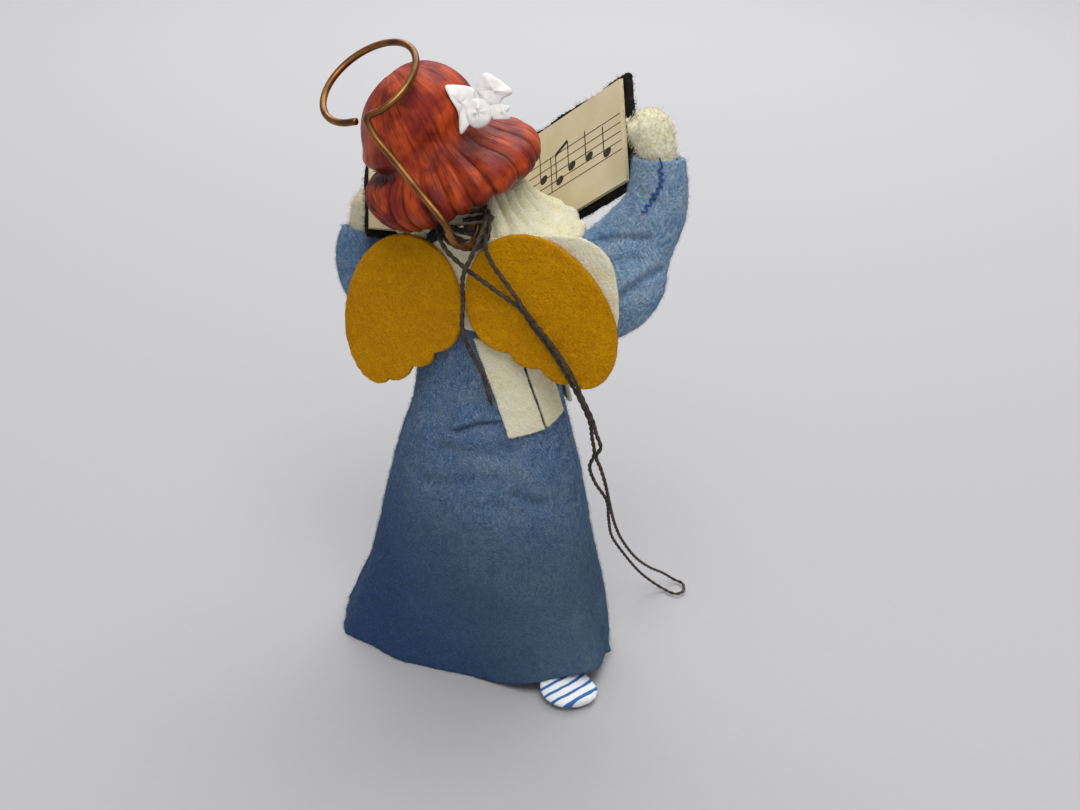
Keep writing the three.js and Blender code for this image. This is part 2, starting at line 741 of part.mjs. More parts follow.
// Back panel: lies flat under both wings, and its right edge shows past the right wing
function pinaforeBack() {
  const rightEdge = [
    [pinaforeBottom, -29.4], [pinaforeBottom + 8.5, -31], [pinaforeTop - 1.5, -27.6], [pinaforeTop, -23],
  ];
  const depth = wingRoot.y - wingFelt / 2 - clearance - creamFelt / 2;
  return feltSheet((u, v) => {
    const height = THREE.MathUtils.lerp(pinaforeBottom, pinaforeTop, v);
    const right = stationValue(rightEdge, height);
    const x = THREE.MathUtils.lerp(right, pinaforeLeft, u);
    const drop = (1 - v) * Math.max(0, u - 0.5) * -6;
    return v3(x, depth - Math.abs(x - wingRoot.x) * Math.tan(radians(wingDihedral)), height - drop);
  }, 12, 6, creamFelt);
}

// Cream felt lying on the dress between two edges, each given as [angle, height] at top and bottom
function creamPanel(left, right, columns, rows, lift) {
  return feltSheet((u, v) => {
    const onEdge = (edge, k) => THREE.MathUtils.lerp(edge[0][k], edge[1][k], v);
    const degrees = THREE.MathUtils.lerp(onEdge(left, 0), onEdge(right, 0), u);
    const height = THREE.MathUtils.lerp(onEdge(left, 1), onEdge(right, 1), u);
    return onDress(degrees, height, lift);
  }, columns, rows, creamFelt);
}

// Book: each page block lies on its side of the folded cover

function page() {
  const block = new THREE.Shape();
  block.moveTo(1.2, clearance / 2);
  block.lineTo(pageWidth, clearance / 2);
  block.lineTo(pageWidth - 0.35, clearance / 2 + pageStack);
  block.lineTo(2.2, clearance / 2 + pageStack);
  const leaf = new THREE.ExtrudeGeometry(block, { depth: pageHeight, bevelEnabled: false });
  return leaf.translate(0, 0, -pageHeight / 2).rotateZ(radians(bookOpening));
}

// The cover: one strip of board folded at the spine, set a little to the right of the pages
function cover(grow, above) {
  const [c, s] = [Math.cos(radians(bookOpening)), Math.sin(radians(bookOpening))];
  const [left, right] = [pageWidth + coverTuck + grow, pageWidth + coverOverhang + grow];
  const low = -coverBoard - grow;
  const on = (x, y, way) => [way * (x * c - y * s), x * s + y * c];
  const fold = new THREE.Shape();
  fold.moveTo(...on(right, low, -1));
  fold.lineTo(0, low / c);
  fold.lineTo(...on(left, low, 1));
  fold.lineTo(...on(left, above, 1));
  fold.lineTo(0, above / c);
  fold.lineTo(...on(right, above, -1));
  const height = pageHeight + coverRim + 2 * grow;
  return new THREE.ExtrudeGeometry(fold, { depth: height, bevelEnabled: false }).translate(0, 0, -height / 2);
}

// Cord: the neck binding, the hanging loop and the cut tail

function binding() {
  const points = [];
  const radius = collarNeck + creamFelt / 2 + collarPleat * 0.2 + clearance + cordDiameter / 2;
  const steps = 24;
  for (let i = 0; i <= bindingTurns * steps; i += 1) {
    const angle = radians(bindingStart) + (2 * Math.PI * i) / steps;
    const rise = bindingRise + (bindingPitch * i) / steps;
    points.push(v3(radius * Math.cos(angle), radius * Math.sin(angle), rise));
  }
  let least = Infinity;
  for (let i = 0; i < points.length; i += 1) {
    for (let j = i + steps / 2; j < points.length; j += 1) {
      least = Math.min(least, points[i].distanceTo(points[j]) - cordDiameter);
    }
  }
  console.log('neck binding least gap to itself', least.toFixed(2), 'mm');
  const curve = new THREE.CatmullRomCurve3(points);
  return tube(curve, cordDiameter, 6, bindingTurns * steps);
}

// Two strands that lie over the right wing, fall past the dress and meet in an eye on the floor
const loopRoute = [
  v3(8.6, 12.6, 111.6), v3(8, 16.4, 110.4), v3(5, 18.6, 108), v3(0.4, 18.8, 104.8),
  v3(-5.7, 16.4, 100), v3(-11.6, 14.6, 95.6), v3(-14.5, 14, 91.6), v3(-17.7, 13.3, 87.6),
  v3(-20.7, 12.7, 83.4), v3(-23.6, 12, 78.5), v3(-25.5, 11, 74.6), v3(-28, 10.4, 69.2),
  v3(-27.8, 7.4, 63.9), v3(-27.7, 4.6, 58.3), v3(-26, 2.4, 53.7), v3(-26.4, -1.2, 47.9),
  v3(-28.1, -6, 41.2), v3(-27, -12.5, 32.5), v3(-26.3, -18.5, 24.4), v3(-28, -25, 16.2),
  v3(-30.4, -31.4, 8.4), v3(-32.6, -36.4, 3.2), v3(-35.6, -37.8, 0.9), v3(-40, -36.5, 0.8),
  v3(-41.4, -39, 0.8), v3(-40, -42.7, 0.8), v3(-37.1, -43.6, 1), v3(-35, -40.4, 4),
  v3(-33, -33.6, 8.8), v3(-30.9, -26.2, 15.2), v3(-29.1, -17.4, 25), v3(-28.9, -11, 32.9),
  v3(-29.4, -3.8, 42.5), v3(-29.6, 0.6, 49.1), v3(-29.2, 3.6, 54.3), v3(-28.9, 6.8, 59),
  v3(-30.2, 7.8, 61.9), v3(-29.6, 10, 66.3), v3(-29.3, 12.8, 71.1), v3(-26.5, 12.8, 76.2),
  v3(-24, 13.3, 81.3), v3(-21.6, 13.9, 85.1), v3(-18.6, 14.5, 89.1), v3(-15.7, 15.2, 92.6),
  v3(-13, 16.1, 96.2), v3(-10.3, 16, 99.5), v3(-7.7, 16, 102.5), v3(-5.2, 16.8, 106),
  v3(-3.8, 17.4, 109.4), v3(-2.9, 16.2, 112.2), v3(-1.4, 13.4, 114),
];
// Cut end of the binding, hanging between the wings
const tailRoute = [
  v3(-1.5, 13, 116.2), v3(-3.1, 17, 114.9), v3(-3.2, 20.4, 112.8), v3(-1.9, 21.2, 108.8),
  v3(0.2, 20.8, 103.6), v3(1, 18.6, 96.2), v3(1.6, 17.6, 90.9), v3(1.2, 16.6, 86.8),
  v3(-0.8, 16, 82.6), v3(-3, 15.4, 78.2), v3(-4.7, 14.8, 71.9),
];

function cord(route, steps) {
  return tube(new THREE.CatmullRomCurve3(route, false, 'centripetal'), cordDiameter, 8, steps);
}

// Assembly

const angel = new THREE.Group();

function place(parent, name, geometry, colour, roughness, metalness = 0) {
  const material = new THREE.MeshStandardMaterial({ color: colour, roughness, metalness });
  const mesh = new THREE.Mesh(geometry, material);
  mesh.name = name;
  parent.add(mesh);
}

const blue = 0x4f6c8c;
const cream = 0xe6dfc6;
const mustard = 0xb07c10;
const cordBrown = 0x3a2c1c;
const card = 0xdcd0ac;

place(angel, 'dress_back', dressPanel(1), blue, 0.95);
place(angel, 'dress_front', dressPanel(-1), blue, 0.95);
place(angel, 'torso', torso(), cream, 0.95);
place(angel, 'neck_dowel', dowel(dowelRadius, dowelLength), 0xc9a46a, 0.7);
place(angel, 'right_leg', leg(-hipJointX, rightToe), 0xeceef0, 0.9);
place(angel, 'left_leg', leg(hipJointX, leftToe), 0xeceef0, 0.9);

// Book, in its own frame: x along the open pages, z up the spine, y to the reader
const book = new THREE.Group();
book.position.copy(bookCentre);
book.rotation.set(radians(bookTilt), radians(bookRoll), radians(bookYaw), 'ZYX');
book.updateMatrix();
place(book, 'book_cover', cover(0, -clearance / 2), 0x1d1b1a, 0.95);
place(book, 'book_page_left', page(), card, 0.8);
place(book, 'book_page_right', mirrored(page()), card, 0.8);
angel.add(book);

// Sleeves and arms are cut to the dress, and the mittens to the cover that they hold
const dressRoom = dressBlock(2 * clearance);
const coverRoom = cover(clearance, pageStack + 2 * clearance).applyMatrix4(book.matrix);
const arms = [
  ['right', rightArmPath, rightRadii, rightSection, v3(0.42, -0.2, 0.88).normalize(), v3(0.75, 0.55, 0.1)],
  ['left', leftArmPath, leftRadii, leftSection, v3(-0.2, -0.2, 1).normalize(), v3(-0.9, 0.3, 0.2)],
];
for (const [side, path, radii, section, fingers, thumb] of arms) {
  place(angel, `${side}_sleeve`, cut(sleeve(path, radii, section), dressRoom), blue, 0.95);
  place(angel, `${side}_arm`, cut(arm(path, fingers, thumb), dressRoom, coverRoom), cream, 0.95);
}

// Head, in its own frame on the tilted neck
const head = new THREE.Group();
head.position.copy(headCentre);
const faceTurn = new THREE.Quaternion().setFromAxisAngle(v3(0, 0, 1), radians(-headTurnDegrees));
head.quaternion.setFromUnitVectors(v3(0, 0, 1), headUp).multiply(faceTurn);
const boreTop = -headLift + dowelLength / 2 + clearance;
const boreRadius = dowelRadius + clearance;
const boreLow = -headLift - 2;
const headBore = lathe([[0, boreLow], [boreRadius, boreLow], [boreRadius, boreTop], [0, boreTop]], 16);
place(head, 'head', cut(headForm(0), headBore), 0xe8c9ae, 0.5);
place(head, 'hair', hair(), 0x9c4526, 0.45);
head.updateMatrix();
const bowDepthWay = bowFacing.clone().normalize();
const bowUp = bowDepthWay.clone().cross(bowAlong).normalize();
const bowFrame = new THREE.Matrix4().makeBasis(bowUp.clone().cross(bowDepthWay), bowUp, bowDepthWay);
bowFrame.setPosition(fromNeck(bowSeat));
const bowPlaced = bow().applyMatrix4(bowFrame).applyMatrix4(head.matrix.clone().invert());
place(head, 'hair_bow', cut(bowPlaced, hairForm(clearance)), 0xece9e2, 0.6);
angel.add(head);

place(angel, 'halo', halo(), 0x8a5a34, 0.35, 1);

const wings = [['left', 1, leftWingSpan, leftWingInset], ['right', -1, rightWingSpan, 0]];
for (const [side, way, span, inset] of wings) {
  const wingSeat = new THREE.Group();
  wingSeat.position.copy(wingRoot);
  wingSeat.translateX(-way * inset);
  wingSeat.rotation.set(0, radians(wingRoll), radians(-way * wingDihedral), 'ZYX');
  place(wingSeat, `${side}_wing`, way > 0 ? wing(span) : mirrored(wing(span)), mustard, 0.95);
  angel.add(wingSeat);
}

const ruff = new THREE.Group();
ruff.position.set(dressCentreX(neckHeight), 0, neckHeight + 1);
ruff.rotation.y = radians(collarTilt);
place(ruff, 'neck_gather', neckGather(), cream, 0.95);
place(ruff, 'pinafore_collar', collar(), cream, 0.95);
place(ruff, 'neck_binding', binding(), cordBrown, 0.6);
angel.add(ruff);
place(angel, 'pinafore_back', pinaforeBack(), cream, 0.95);
const apronLift = creamLift + clearance;
const apronLeft = [[308, apronTop], [330, apronEnd]];
const apron = creamPanel(apronLeft, [[232, apronTop], [196, apronEnd]], 14, 9, apronLift);
place(angel, 'pinafore_front', apron, cream, 0.95);
const innerLeft = [[99, sashTop], [120, sashEnd]];
const innerTail = creamPanel(innerLeft, [[131, sashTop], [149, sashEnd + 1.6]], 4, 8, creamLift);
place(angel, 'sash_tail_inner', innerTail, cream, 0.95);
const outerLeft = [[133, sashTop], [151, sashEnd + 1.8]];
const outerTail = creamPanel(outerLeft, [[156, sashTop], [174, sashEnd + 4.4]], 4, 8, creamLift);
place(angel, 'sash_tail_outer', outerTail, cream, 0.95);

place(angel, 'hanging_loop', cord(loopRoute, 78), cordBrown, 0.6);
place(angel, 'cord_tail', cord(tailRoute, 16), cordBrown, 0.6);

// Origin: on the floor at the middle of the doll, its free cord left out
angel.updateMatrixWorld(true);
const reach = new THREE.Box3();
for (const piece of angel.children) {
  if (piece.name !== 'hanging_loop' && piece.name !== 'cord_tail') {
    reach.expandByObject(piece, true);
  }
}
const middle = reach.getCenter(v3(0, 0, 0)).setZ(reach.min.z);
console.log('origin in the doll frame', middle.toArray().map((k) => k.toFixed(3)).join(' '));
for (const piece of angel.children) {
  piece.position.sub(middle);
}

export default angel;
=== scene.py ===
from math import cos, pi, radians, sin, sqrt, tan

import bmesh
import bpy
import numpy as np
from mathutils import Euler, Matrix, Quaternion, Vector, noise
from mathutils.bvhtree import BVHTree


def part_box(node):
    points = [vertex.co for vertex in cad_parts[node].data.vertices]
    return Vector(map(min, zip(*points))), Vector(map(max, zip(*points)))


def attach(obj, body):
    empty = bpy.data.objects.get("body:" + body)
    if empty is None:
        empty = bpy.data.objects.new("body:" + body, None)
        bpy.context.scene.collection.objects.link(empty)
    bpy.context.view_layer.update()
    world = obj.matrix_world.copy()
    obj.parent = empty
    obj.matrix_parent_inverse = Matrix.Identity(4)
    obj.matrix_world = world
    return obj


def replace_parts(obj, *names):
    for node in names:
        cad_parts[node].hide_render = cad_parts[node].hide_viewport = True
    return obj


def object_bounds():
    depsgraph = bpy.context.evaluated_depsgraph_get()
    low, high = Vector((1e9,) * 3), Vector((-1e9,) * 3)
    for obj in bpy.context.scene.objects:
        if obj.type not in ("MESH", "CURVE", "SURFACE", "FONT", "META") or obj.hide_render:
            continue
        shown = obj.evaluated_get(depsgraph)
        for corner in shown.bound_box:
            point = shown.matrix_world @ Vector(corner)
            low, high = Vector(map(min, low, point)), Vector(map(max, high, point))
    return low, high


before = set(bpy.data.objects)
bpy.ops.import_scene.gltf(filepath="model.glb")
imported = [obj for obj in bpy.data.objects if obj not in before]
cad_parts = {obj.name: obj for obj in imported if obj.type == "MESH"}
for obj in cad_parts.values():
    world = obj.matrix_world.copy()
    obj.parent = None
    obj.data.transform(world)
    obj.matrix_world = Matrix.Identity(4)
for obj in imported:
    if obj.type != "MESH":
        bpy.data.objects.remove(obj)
cadLow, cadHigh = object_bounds()
mm = 0.001

# The doll's own frame, in millimetres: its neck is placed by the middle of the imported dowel
neckPivot = Vector((7.595, 0.8, 110.4))
dowelLow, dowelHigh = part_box("neck_dowel")
dollOrigin = (dowelLow + dowelHigh) / 2 - neckPivot * mm


def atDoll(x, y, z):
    return dollOrigin + Vector((x, y, z)) * mm


def routeAt(marks):
    return [atDoll(*m) for m in marks]


def linked(name, data):
    item = bpy.data.objects.new(name, data)
    bpy.context.scene.collection.objects.link(item)
    return item


# Camera: the viewpoint of the photograph
viewpoint = {"azimuth": 200, "elevation": 24, "roll": 2.4, "eye": (-134.24, 336.44, 225.56), "lens": 54.13}
azimuth, elevation, roll = (radians(viewpoint[k]) for k in ("azimuth", "elevation", "roll"))
level = cos(elevation)
viewBack = Vector((sin(azimuth) * level, -cos(azimuth) * level, sin(elevation)))
viewRight = Vector((cos(azimuth), sin(azimuth), 0))
viewUp = viewBack.cross(viewRight)
cameraX = viewRight * cos(roll) + viewUp * sin(roll)
cameraY = viewUp * cos(roll) - viewRight * sin(roll)
cameraTurn = Matrix((cameraX, cameraY, viewBack)).transposed()
camera = linked("camera", bpy.data.cameras.new("camera"))
camera.data.sensor_width = 36
camera.data.lens = viewpoint["lens"]
camera.data.clip_start = 0.01
camera.matrix_world = Matrix.Translation(atDoll(*viewpoint["eye"])) @ cameraTurn.to_4x4()
bpy.context.scene.camera = camera
print("camera placed")


# Materials


def toLinear(colour):
    parts = [int(colour[i : i + 2], 16) / 255 for i in (1, 3, 5)]
    return [c / 12.92 if c <= 0.04045 else ((c + 0.055) / 1.055) ** 2.4 for c in parts] + [1]


def addNode(tree, kind, inputs=None, output=0, **settings):
    node = tree.nodes.new("ShaderNode" + kind)
    for name, value in settings.items():
        setattr(node, name, value)
    for socket, value in (inputs or {}).items():
        if isinstance(value, bpy.types.NodeSocket):
            tree.links.new(value, node.inputs[socket])
        else:
            node.inputs[socket].default_value = toLinear(value) if isinstance(value, str) else value
    return node.outputs[output] if len(node.outputs) else None


# a mix of two colours takes its share at 0 and the colours at 6 and 7
colourMix = {"output": 2, "data_type": "RGBA"}


def newMaterial(name):
    material = bpy.data.materials.new(name)
    material.use_nodes = True
    tree = material.node_tree
    tree.nodes.clear()
    return material, tree, addNode(tree, "TexCoord", output="Object")


def finishMaterial(tree, colour, roughness, shine, more=None):
    inputs = {"Base Color": colour, "Roughness": roughness, "Specular IOR Level": shine, **(more or {})}
    addNode(tree, "OutputMaterial", {"Surface": addNode(tree, "BsdfPrincipled", inputs)})


def noiseMask(tree, vector, size, low, high, detail=2.0):
    grain = addNode(tree, "TexNoise", {"Vector": vector, "Scale": 1 / (size * mm), "Detail": detail})
    return addNode(tree, "MapRange", {"Value": grain, "From Min": low, "From Max": high})


# Felt gives the eye a mottled matt colour, with pale and dark fibres that swirl every way over it. The fibres
# are two or three times as wide as real wool so that they show at this size
fibre = {
    "lays": [(0, 38, 20), (0, -52, -30), (70, 20, 0)],
    "bounds": {"light": (0.53, 0.74), "deep": (0.45, 0.28)},
    "drift": 0.9,
    "lump": 0.7,
    "depth": 0.4,
    "sheenRoughness": 0.6,
}


def feltMaterial(name, look):
    material, tree, place = newMaterial(name)
    inputs = {"Vector": place, "Scale": 1 / (look["swirl"] * mm), "Detail": 1.0}
    drift = addNode(tree, "TexNoise", inputs, "Color")
    inputs = {0: drift, "Scale": look["swirl"] * fibre["drift"] * mm}
    offset = addNode(tree, "VectorMath", inputs, operation="SCALE")
    bent = addNode(tree, "VectorMath", {0: place, 1: offset}, operation="ADD")
    dark, mid, grey = look["tones"]
    wide = noiseMask(tree, place, look["cloud"], 0.38, 0.62)
    colour = addNode(tree, "Mix", {0: wide, 6: dark, 7: mid}, **colourMix)
    mottle = noiseMask(tree, bent, look["mottle"], 0.42, 0.72)
    colour = addNode(tree, "Mix", {0: mottle, 6: colour, 7: grey}, **colourMix)
    height = noiseMask(tree, place, fibre["lump"], 0.3, 0.7)
    width, length = (size * mm for size in look["fibre"])
    for turn in fibre["lays"]:
        inputs = {"Vector": bent, "Rotation": [radians(a) for a in turn], "Scale": (width, width, length)}
        laid = addNode(tree, "Mapping", inputs, vector_type="TEXTURE")
        strands = addNode(tree, "TexNoise", {"Vector": laid, "Scale": 1.0, "Detail": 2.0})
        for tone, (low, high) in fibre["bounds"].items():
            shade, share = look[tone]
            inputs = {"Value": strands, "From Min": low, "From Max": high, "To Max": share}
            mask = addNode(tree, "MapRange", inputs)
            colour = addNode(tree, "Mix", {0: mask, 6: colour, 7: shade}, **colourMix)
        height = addNode(tree, "Math", {0: height, 1: strands}, operation="ADD")
    # painted shade: some cloth is darker toward one end, away from the light
    for paintedShade in look.get("paintedShades", []):
        toward = [c / mm for c in paintedShade["toward"]]
        reach = addNode(tree, "VectorMath", {0: bent, 1: toward}, "Value", operation="DOT_PRODUCT")
        low, high = paintedShade["span"]
        inputs = {"Value": reach, "From Min": low, "From Max": high, "To Max": paintedShade["share"]}
        strength = addNode(tree, "MapRange", inputs, interpolation_type="SMOOTHSTEP")
        colour = addNode(tree, "Mix", {0: strength, 6: colour, 7: paintedShade["colour"]}, **colourMix)
    inputs = {"Height": height, "Strength": look["bump"], "Distance": fibre["depth"] * mm}
    more = {"Normal": addNode(tree, "Bump", inputs)}
    more["Sheen Weight"] = look["sheen"]
    more["Sheen Roughness"] = fibre["sheenRoughness"]
    more["Sheen Tint"] = look["light"][0]
    finishMaterial(tree, colour, 0.95, 0.1, more)
    return material


# Paint, ink, thread and wood: two close tones in a grain of a real size, with a little relief
def grainedMaterial(name, look):
    material, tree, place = newMaterial(name)
    stretched = addNode(tree, "Mapping", {"Vector": place, "Scale": look.get("stretch", (1, 1, 1))})
    grain = noiseMask(tree, stretched, look["grain"], 0.36, 0.64, 4.0)
    first, second = look["tones"]
    colour = addNode(tree, "Mix", {0: grain, 6: first, 7: second}, **colourMix)
    inputs = {"Height": grain, "Strength": look.get("bump", 0.2), "Distance": 0.15 * mm}
    finishMaterial(tree, colour, look["roughness"], 0.25, {"Normal": addNode(tree, "Bump", inputs)})
    return material


# Wax, card and bronze: two tones in broad patches, with fine specks as relief on all but the bronze
def patchedMaterial(name, look):
    material, tree, place = newMaterial(name)
    patch = noiseMask(tree, place, *look["patch"])
    first, second = look["tones"]
    colour = addNode(tree, "Mix", {0: patch, 6: first, 7: second}, **colourMix)
    more = {"Metallic": look.get("metal", 0.0)}
    if "speck" in look:
        size, strength = look["speck"]
        speck = noiseMask(tree, place, size, 0.3, 0.7)
        inputs = {"Height": speck, "Strength": strength, "Distance": 0.1 * mm}
        more["Normal"] = addNode(tree, "Bump", inputs)
    finishMaterial(tree, colour, look["roughness"], look["shine"], more)
    return material


blueFelt = feltMaterial(
    "brushed_blue_felt",
    {
        "tones": ("#48658a", "#557192", "#687e93"),
        "light": ("#8ea2b4", 0.55),
        "deep": ("#27426a", 0.62),
        "cloud": 22, "mottle": 7, "swirl": 9, "fibre": (0.3, 4.6), "bump": 0.35, "sheen": 0.04,
        # painted shade: darker toward the hem and toward the lower part of the doll's left side
        "paintedShades": [
            {"toward": (0, 0, -1), "span": (-70, -22), "share": 0.76, "colour": "#3b4d5d"},
            {"toward": (0.75, 0, -0.66), "span": (-36, 10), "share": 0.75, "colour": "#213c66"},
        ],
    },
)
paleBlueFelt = feltMaterial(
    "brushed_pale_blue_felt",
    {
        "tones": ("#6283a6", "#7492ae", "#879eb0"),
        "light": ("#b3c3cf", 0.5),
        "deep": ("#3f618c", 0.5),
        "cloud": 14, "mottle": 6, "swirl": 10, "fibre": (0.5, 7.5), "bump": 0.35, "sheen": 0.04,
        # painted shade: darker over the doll's left sleeve, away from the light
        "paintedShades": [{"toward": (1, 0, 0), "span": (8, 30), "share": 0.42, "colour": "#33598c"}],
    },
)
mustardFelt = feltMaterial(
    "mustard_felt",
    {
        "tones": ("#b87c02", "#c28602", "#c78b04"),
        "light": ("#dca71a", 0.35),
        "deep": ("#8e5c00", 0.5),
        "cloud": 12, "mottle": 2.6, "swirl": 4, "fibre": (0.26, 1.3), "bump": 0.4, "sheen": 0,
    },
)
creamFelt = feltMaterial(
    "cream_felt",
    {
        "tones": ("#dbd3ae", "#e2dbba", "#dfdac3"),
        "light": ("#f0ecd8", 0.35),
        "deep": ("#c2b88f", 0.35),
        "cloud": 14, "mottle": 5, "swirl": 7, "fibre": (0.32, 3.0), "bump": 0.35, "sheen": 0.04,
    },
)
blackFelt = feltMaterial(
    "black_felt",
    {
        "tones": ("#131211", "#1c1a19", "#242221"),
        "light": ("#423f3c", 0.3),
        "deep": ("#0b0a0a", 0.5),
        "cloud": 9, "mottle": 3, "swirl": 4, "fibre": (0.3, 1.8), "bump": 0.6, "sheen": 0.05,
    },
)


# Mesh tools


def meshPiece(name, vertices, faces, material, slot, smooth=True):
    mesh = bpy.data.meshes.new(name)
    mesh.from_pydata([tuple(v) for v in vertices], [], faces)
    mesh.validate()
    work = bmesh.new()
    work.from_mesh(mesh)
    bmesh.ops.recalc_face_normals(work, faces=work.faces)
    work.to_mesh(mesh)
    work.free()
    mesh.polygons.foreach_set("use_smooth", [smooth] * len(mesh.polygons))
    mesh.materials.append(material)
    piece = linked(name, mesh)
    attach(piece, "doll")
    return piece


# A centripetal curve through points, as closely spaced samples in the row frame
def smoothLine(points, spacing):
    ends = [points[0] * 2 - points[1], *points, points[-1] * 2 - points[-2]]
    line = []
    for k in range(1, len(ends) - 2):
        p0, p1, p2, p3 = ends[k - 1 : k + 3]
        t0 = 0.0
        t1 = t0 + sqrt((p1 - p0).length)
        t2 = t1 + sqrt((p2 - p1).length)
        t3 = t2 + sqrt((p3 - p2).length)
        steps = max(2, round((p2 - p1).length / spacing))
        for i in range(steps):
            t = t1 + (t2 - t1) * i / steps
            a1 = p0.lerp(p1, (t - t0) / (t1 - t0))
            a2 = p1.lerp(p2, (t - t1) / (t2 - t1))
            a3 = p2.lerp(p3, (t - t2) / (t3 - t2))
            b1 = a1.lerp(a2, (t - t0) / (t2 - t0))
            b2 = a2.lerp(a3, (t - t1) / (t3 - t1))
            line.append(b1.lerp(b2, (t - t1) / (t2 - t1)))
    line.append(points[-1].copy())
    return line


def lineLength(line):
    return sum((b - a).length for a, b in zip(line, line[1:]))


# Rings of a closed tube along a line; reach(distance, angle) is the radius there
def tubeMesh(line, reach, sides):
    vertices = []
    faces = []
    tangent = (line[1] - line[0]).normalized()
    across = tangent.orthogonal().normalized()
    distance = 0.0
    for k, point in enumerate(line):
        ahead = line[min(k + 1, len(line) - 1)] - line[max(k - 1, 0)]
        turned = ahead.normalized()
        across = (tangent.rotation_difference(turned) @ across).normalized()
        tangent = turned
        over = tangent.cross(across)
        if k:
            distance += (point - line[k - 1]).length
        for i in range(sides):
            angle = 2 * pi * i / sides
            out = across * cos(angle) + over * sin(angle)
            vertices.append(point + out * reach(distance, angle))
    count = len(line)
    for k in range(count - 1):
        for i in range(sides):
            j = (i + 1) % sides
            faces.append((k * sides + i, k * sides + j, (k + 1) * sides + j, (k + 1) * sides + i))
    faces.append(tuple(reversed(range(sides))))
    faces.append(tuple((count - 1) * sides + i for i in range(sides)))
    return vertices, faces


# Waxed linen twist: dark brown with a dull wax shine on the crowns of its two plies
waxedLook = {"tones": ("#2c241c", "#4d4030"), "patch": (1.1, 0.35, 0.65), "speck": (0.25, 0.5)}
waxedTwist = patchedMaterial("waxed_linen_twist", {**waxedLook, "roughness": 0.55, "shine": 0.35})
# Cords: two plies twisted together, as a two-lobed section that turns along the line
twist = {"diameter": 1.2, "pitch": 4.2, "sides": 14, "spacing": 0.35, "lobe": 0.5, "worn": 0.34}


# The waxed upper part is full, and the worn part at the eye is thinner
def thinned(distance, total):
    return 1 - twist["worn"] * sin(pi * min(1, max(0, distance / total))) ** 2


def twistReach(distance, angle):
    ply = twist["diameter"] * mm / 2 / (1 + twist["lobe"])
    offset = ply * twist["lobe"]
    turned = angle - 2 * pi * distance / (twist["pitch"] * mm)
    return offset * abs(cos(turned)) + sqrt(ply**2 - (offset * sin(turned)) ** 2)


def cordPiece(name, route, wornMiddle=False):
    line = smoothLine(routeAt(route), twist["spacing"] * mm)
    total = lineLength(line)
    wear = thinned if wornMiddle else (lambda distance, total: 1)
    shape = tubeMesh(line, lambda s, angle: twistReach(s, angle) * wear(s, total), twist["sides"])
    return meshPiece(name, *shape, waxedTwist, "waxed_cord"), line


# The hanging loop lies over the right wing and falls past the dress to an eye on the floor
loopRoute = [
    (8.6, 12.6, 111.6), (8, 16.4, 110.4), (5, 18.6, 108), (0.4, 18.8, 104.8), (-5.7, 16.4, 100),
    (-11.6, 14.6, 95.6), (-14.5, 14, 91.6), (-17.7, 13.3, 87.6), (-20.7, 12.7, 83.4), (-23.6, 12, 78.5),
    (-25.5, 11, 74.6), (-28, 10.4, 69.2), (-27.8, 7.4, 63.9), (-27.7, 4.6, 58.3), (-26, 2.4, 53.7),
    (-26.4, -1.2, 47.9), (-28.1, -6, 41.2), (-27, -12.5, 32.5), (-26.3, -18.5, 24.4), (-28, -25, 16.2),
    (-30.4, -31.4, 8.4), (-32.6, -36.4, 3.2), (-35.6, -37.8, 0.9), (-40, -36.5, 0.8), (-41.4, -39, 0.8),
    (-40, -42.7, 0.8), (-37.1, -43.6, 1), (-35, -40.4, 4), (-33, -33.6, 8.8), (-30.9, -26.2, 15.2),
    (-29.1, -17.4, 25), (-28.9, -11, 32.9), (-29.4, -3.8, 42.5), (-29.6, 0.6, 49.1), (-29.2, 3.6, 54.3),
    (-28.9, 6.8, 59), (-30.2, 7.8, 61.9), (-29.6, 10, 66.3), (-29.3, 12.8, 71.1), (-26.5, 12.8, 76.2),
    (-24, 13.3, 81.3), (-21.6, 13.9, 85.1), (-18.6, 14.5, 89.1), (-15.7, 15.2, 92.6), (-13, 16.1, 96.2),
    (-10.3, 16, 99.5), (-7.7, 16, 102.5), (-5.2, 16.8, 106), (-3.8, 17.4, 109.4), (-2.9, 16.2, 112.2),
    (-1.4, 13.4, 114),
]
# The cut end of the binding hangs between the wings
tailRoute = [
    (-1.5, 13, 116.2), (-3.1, 17, 114.9), (-3.2, 20.4, 112.8), (-1.9, 21.2, 108.8), (0.2, 20.8, 103.6),
    (1, 18.6, 96.2), (1.6, 17.6, 90.9), (1.2, 16.6, 86.8), (-0.8, 16, 82.6), (-3, 15.4, 78.2),
    (-4.7, 14.8, 71.9),
]
hangingLoop, loopLine = cordPiece("loop_cord", loopRoute, wornMiddle=True)
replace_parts(hangingLoop, "hanging_loop")
cordTail, tailLine = cordPiece("tail_cord", tailRoute)
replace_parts(cordTail, "cord_tail")


def unit(vectors):
    return vectors / (np.linalg.norm(vectors, axis=1, keepdims=True) + 1e-12)


# Thin closed fibres: each is a three-sided spike that bends once. roots, bends and tips are arrays of points
spike = {
    "taper": 0.8,
    "steep": 0.9,
    "root": [(2, 1, 0)],
    "sides": [(0, 1, 4), (0, 4, 3), (1, 2, 5), (1, 5, 4), (2, 0, 3), (2, 3, 5)],
    "tip": [(3, 4, 6), (4, 5, 6), (5, 3, 6)],
}


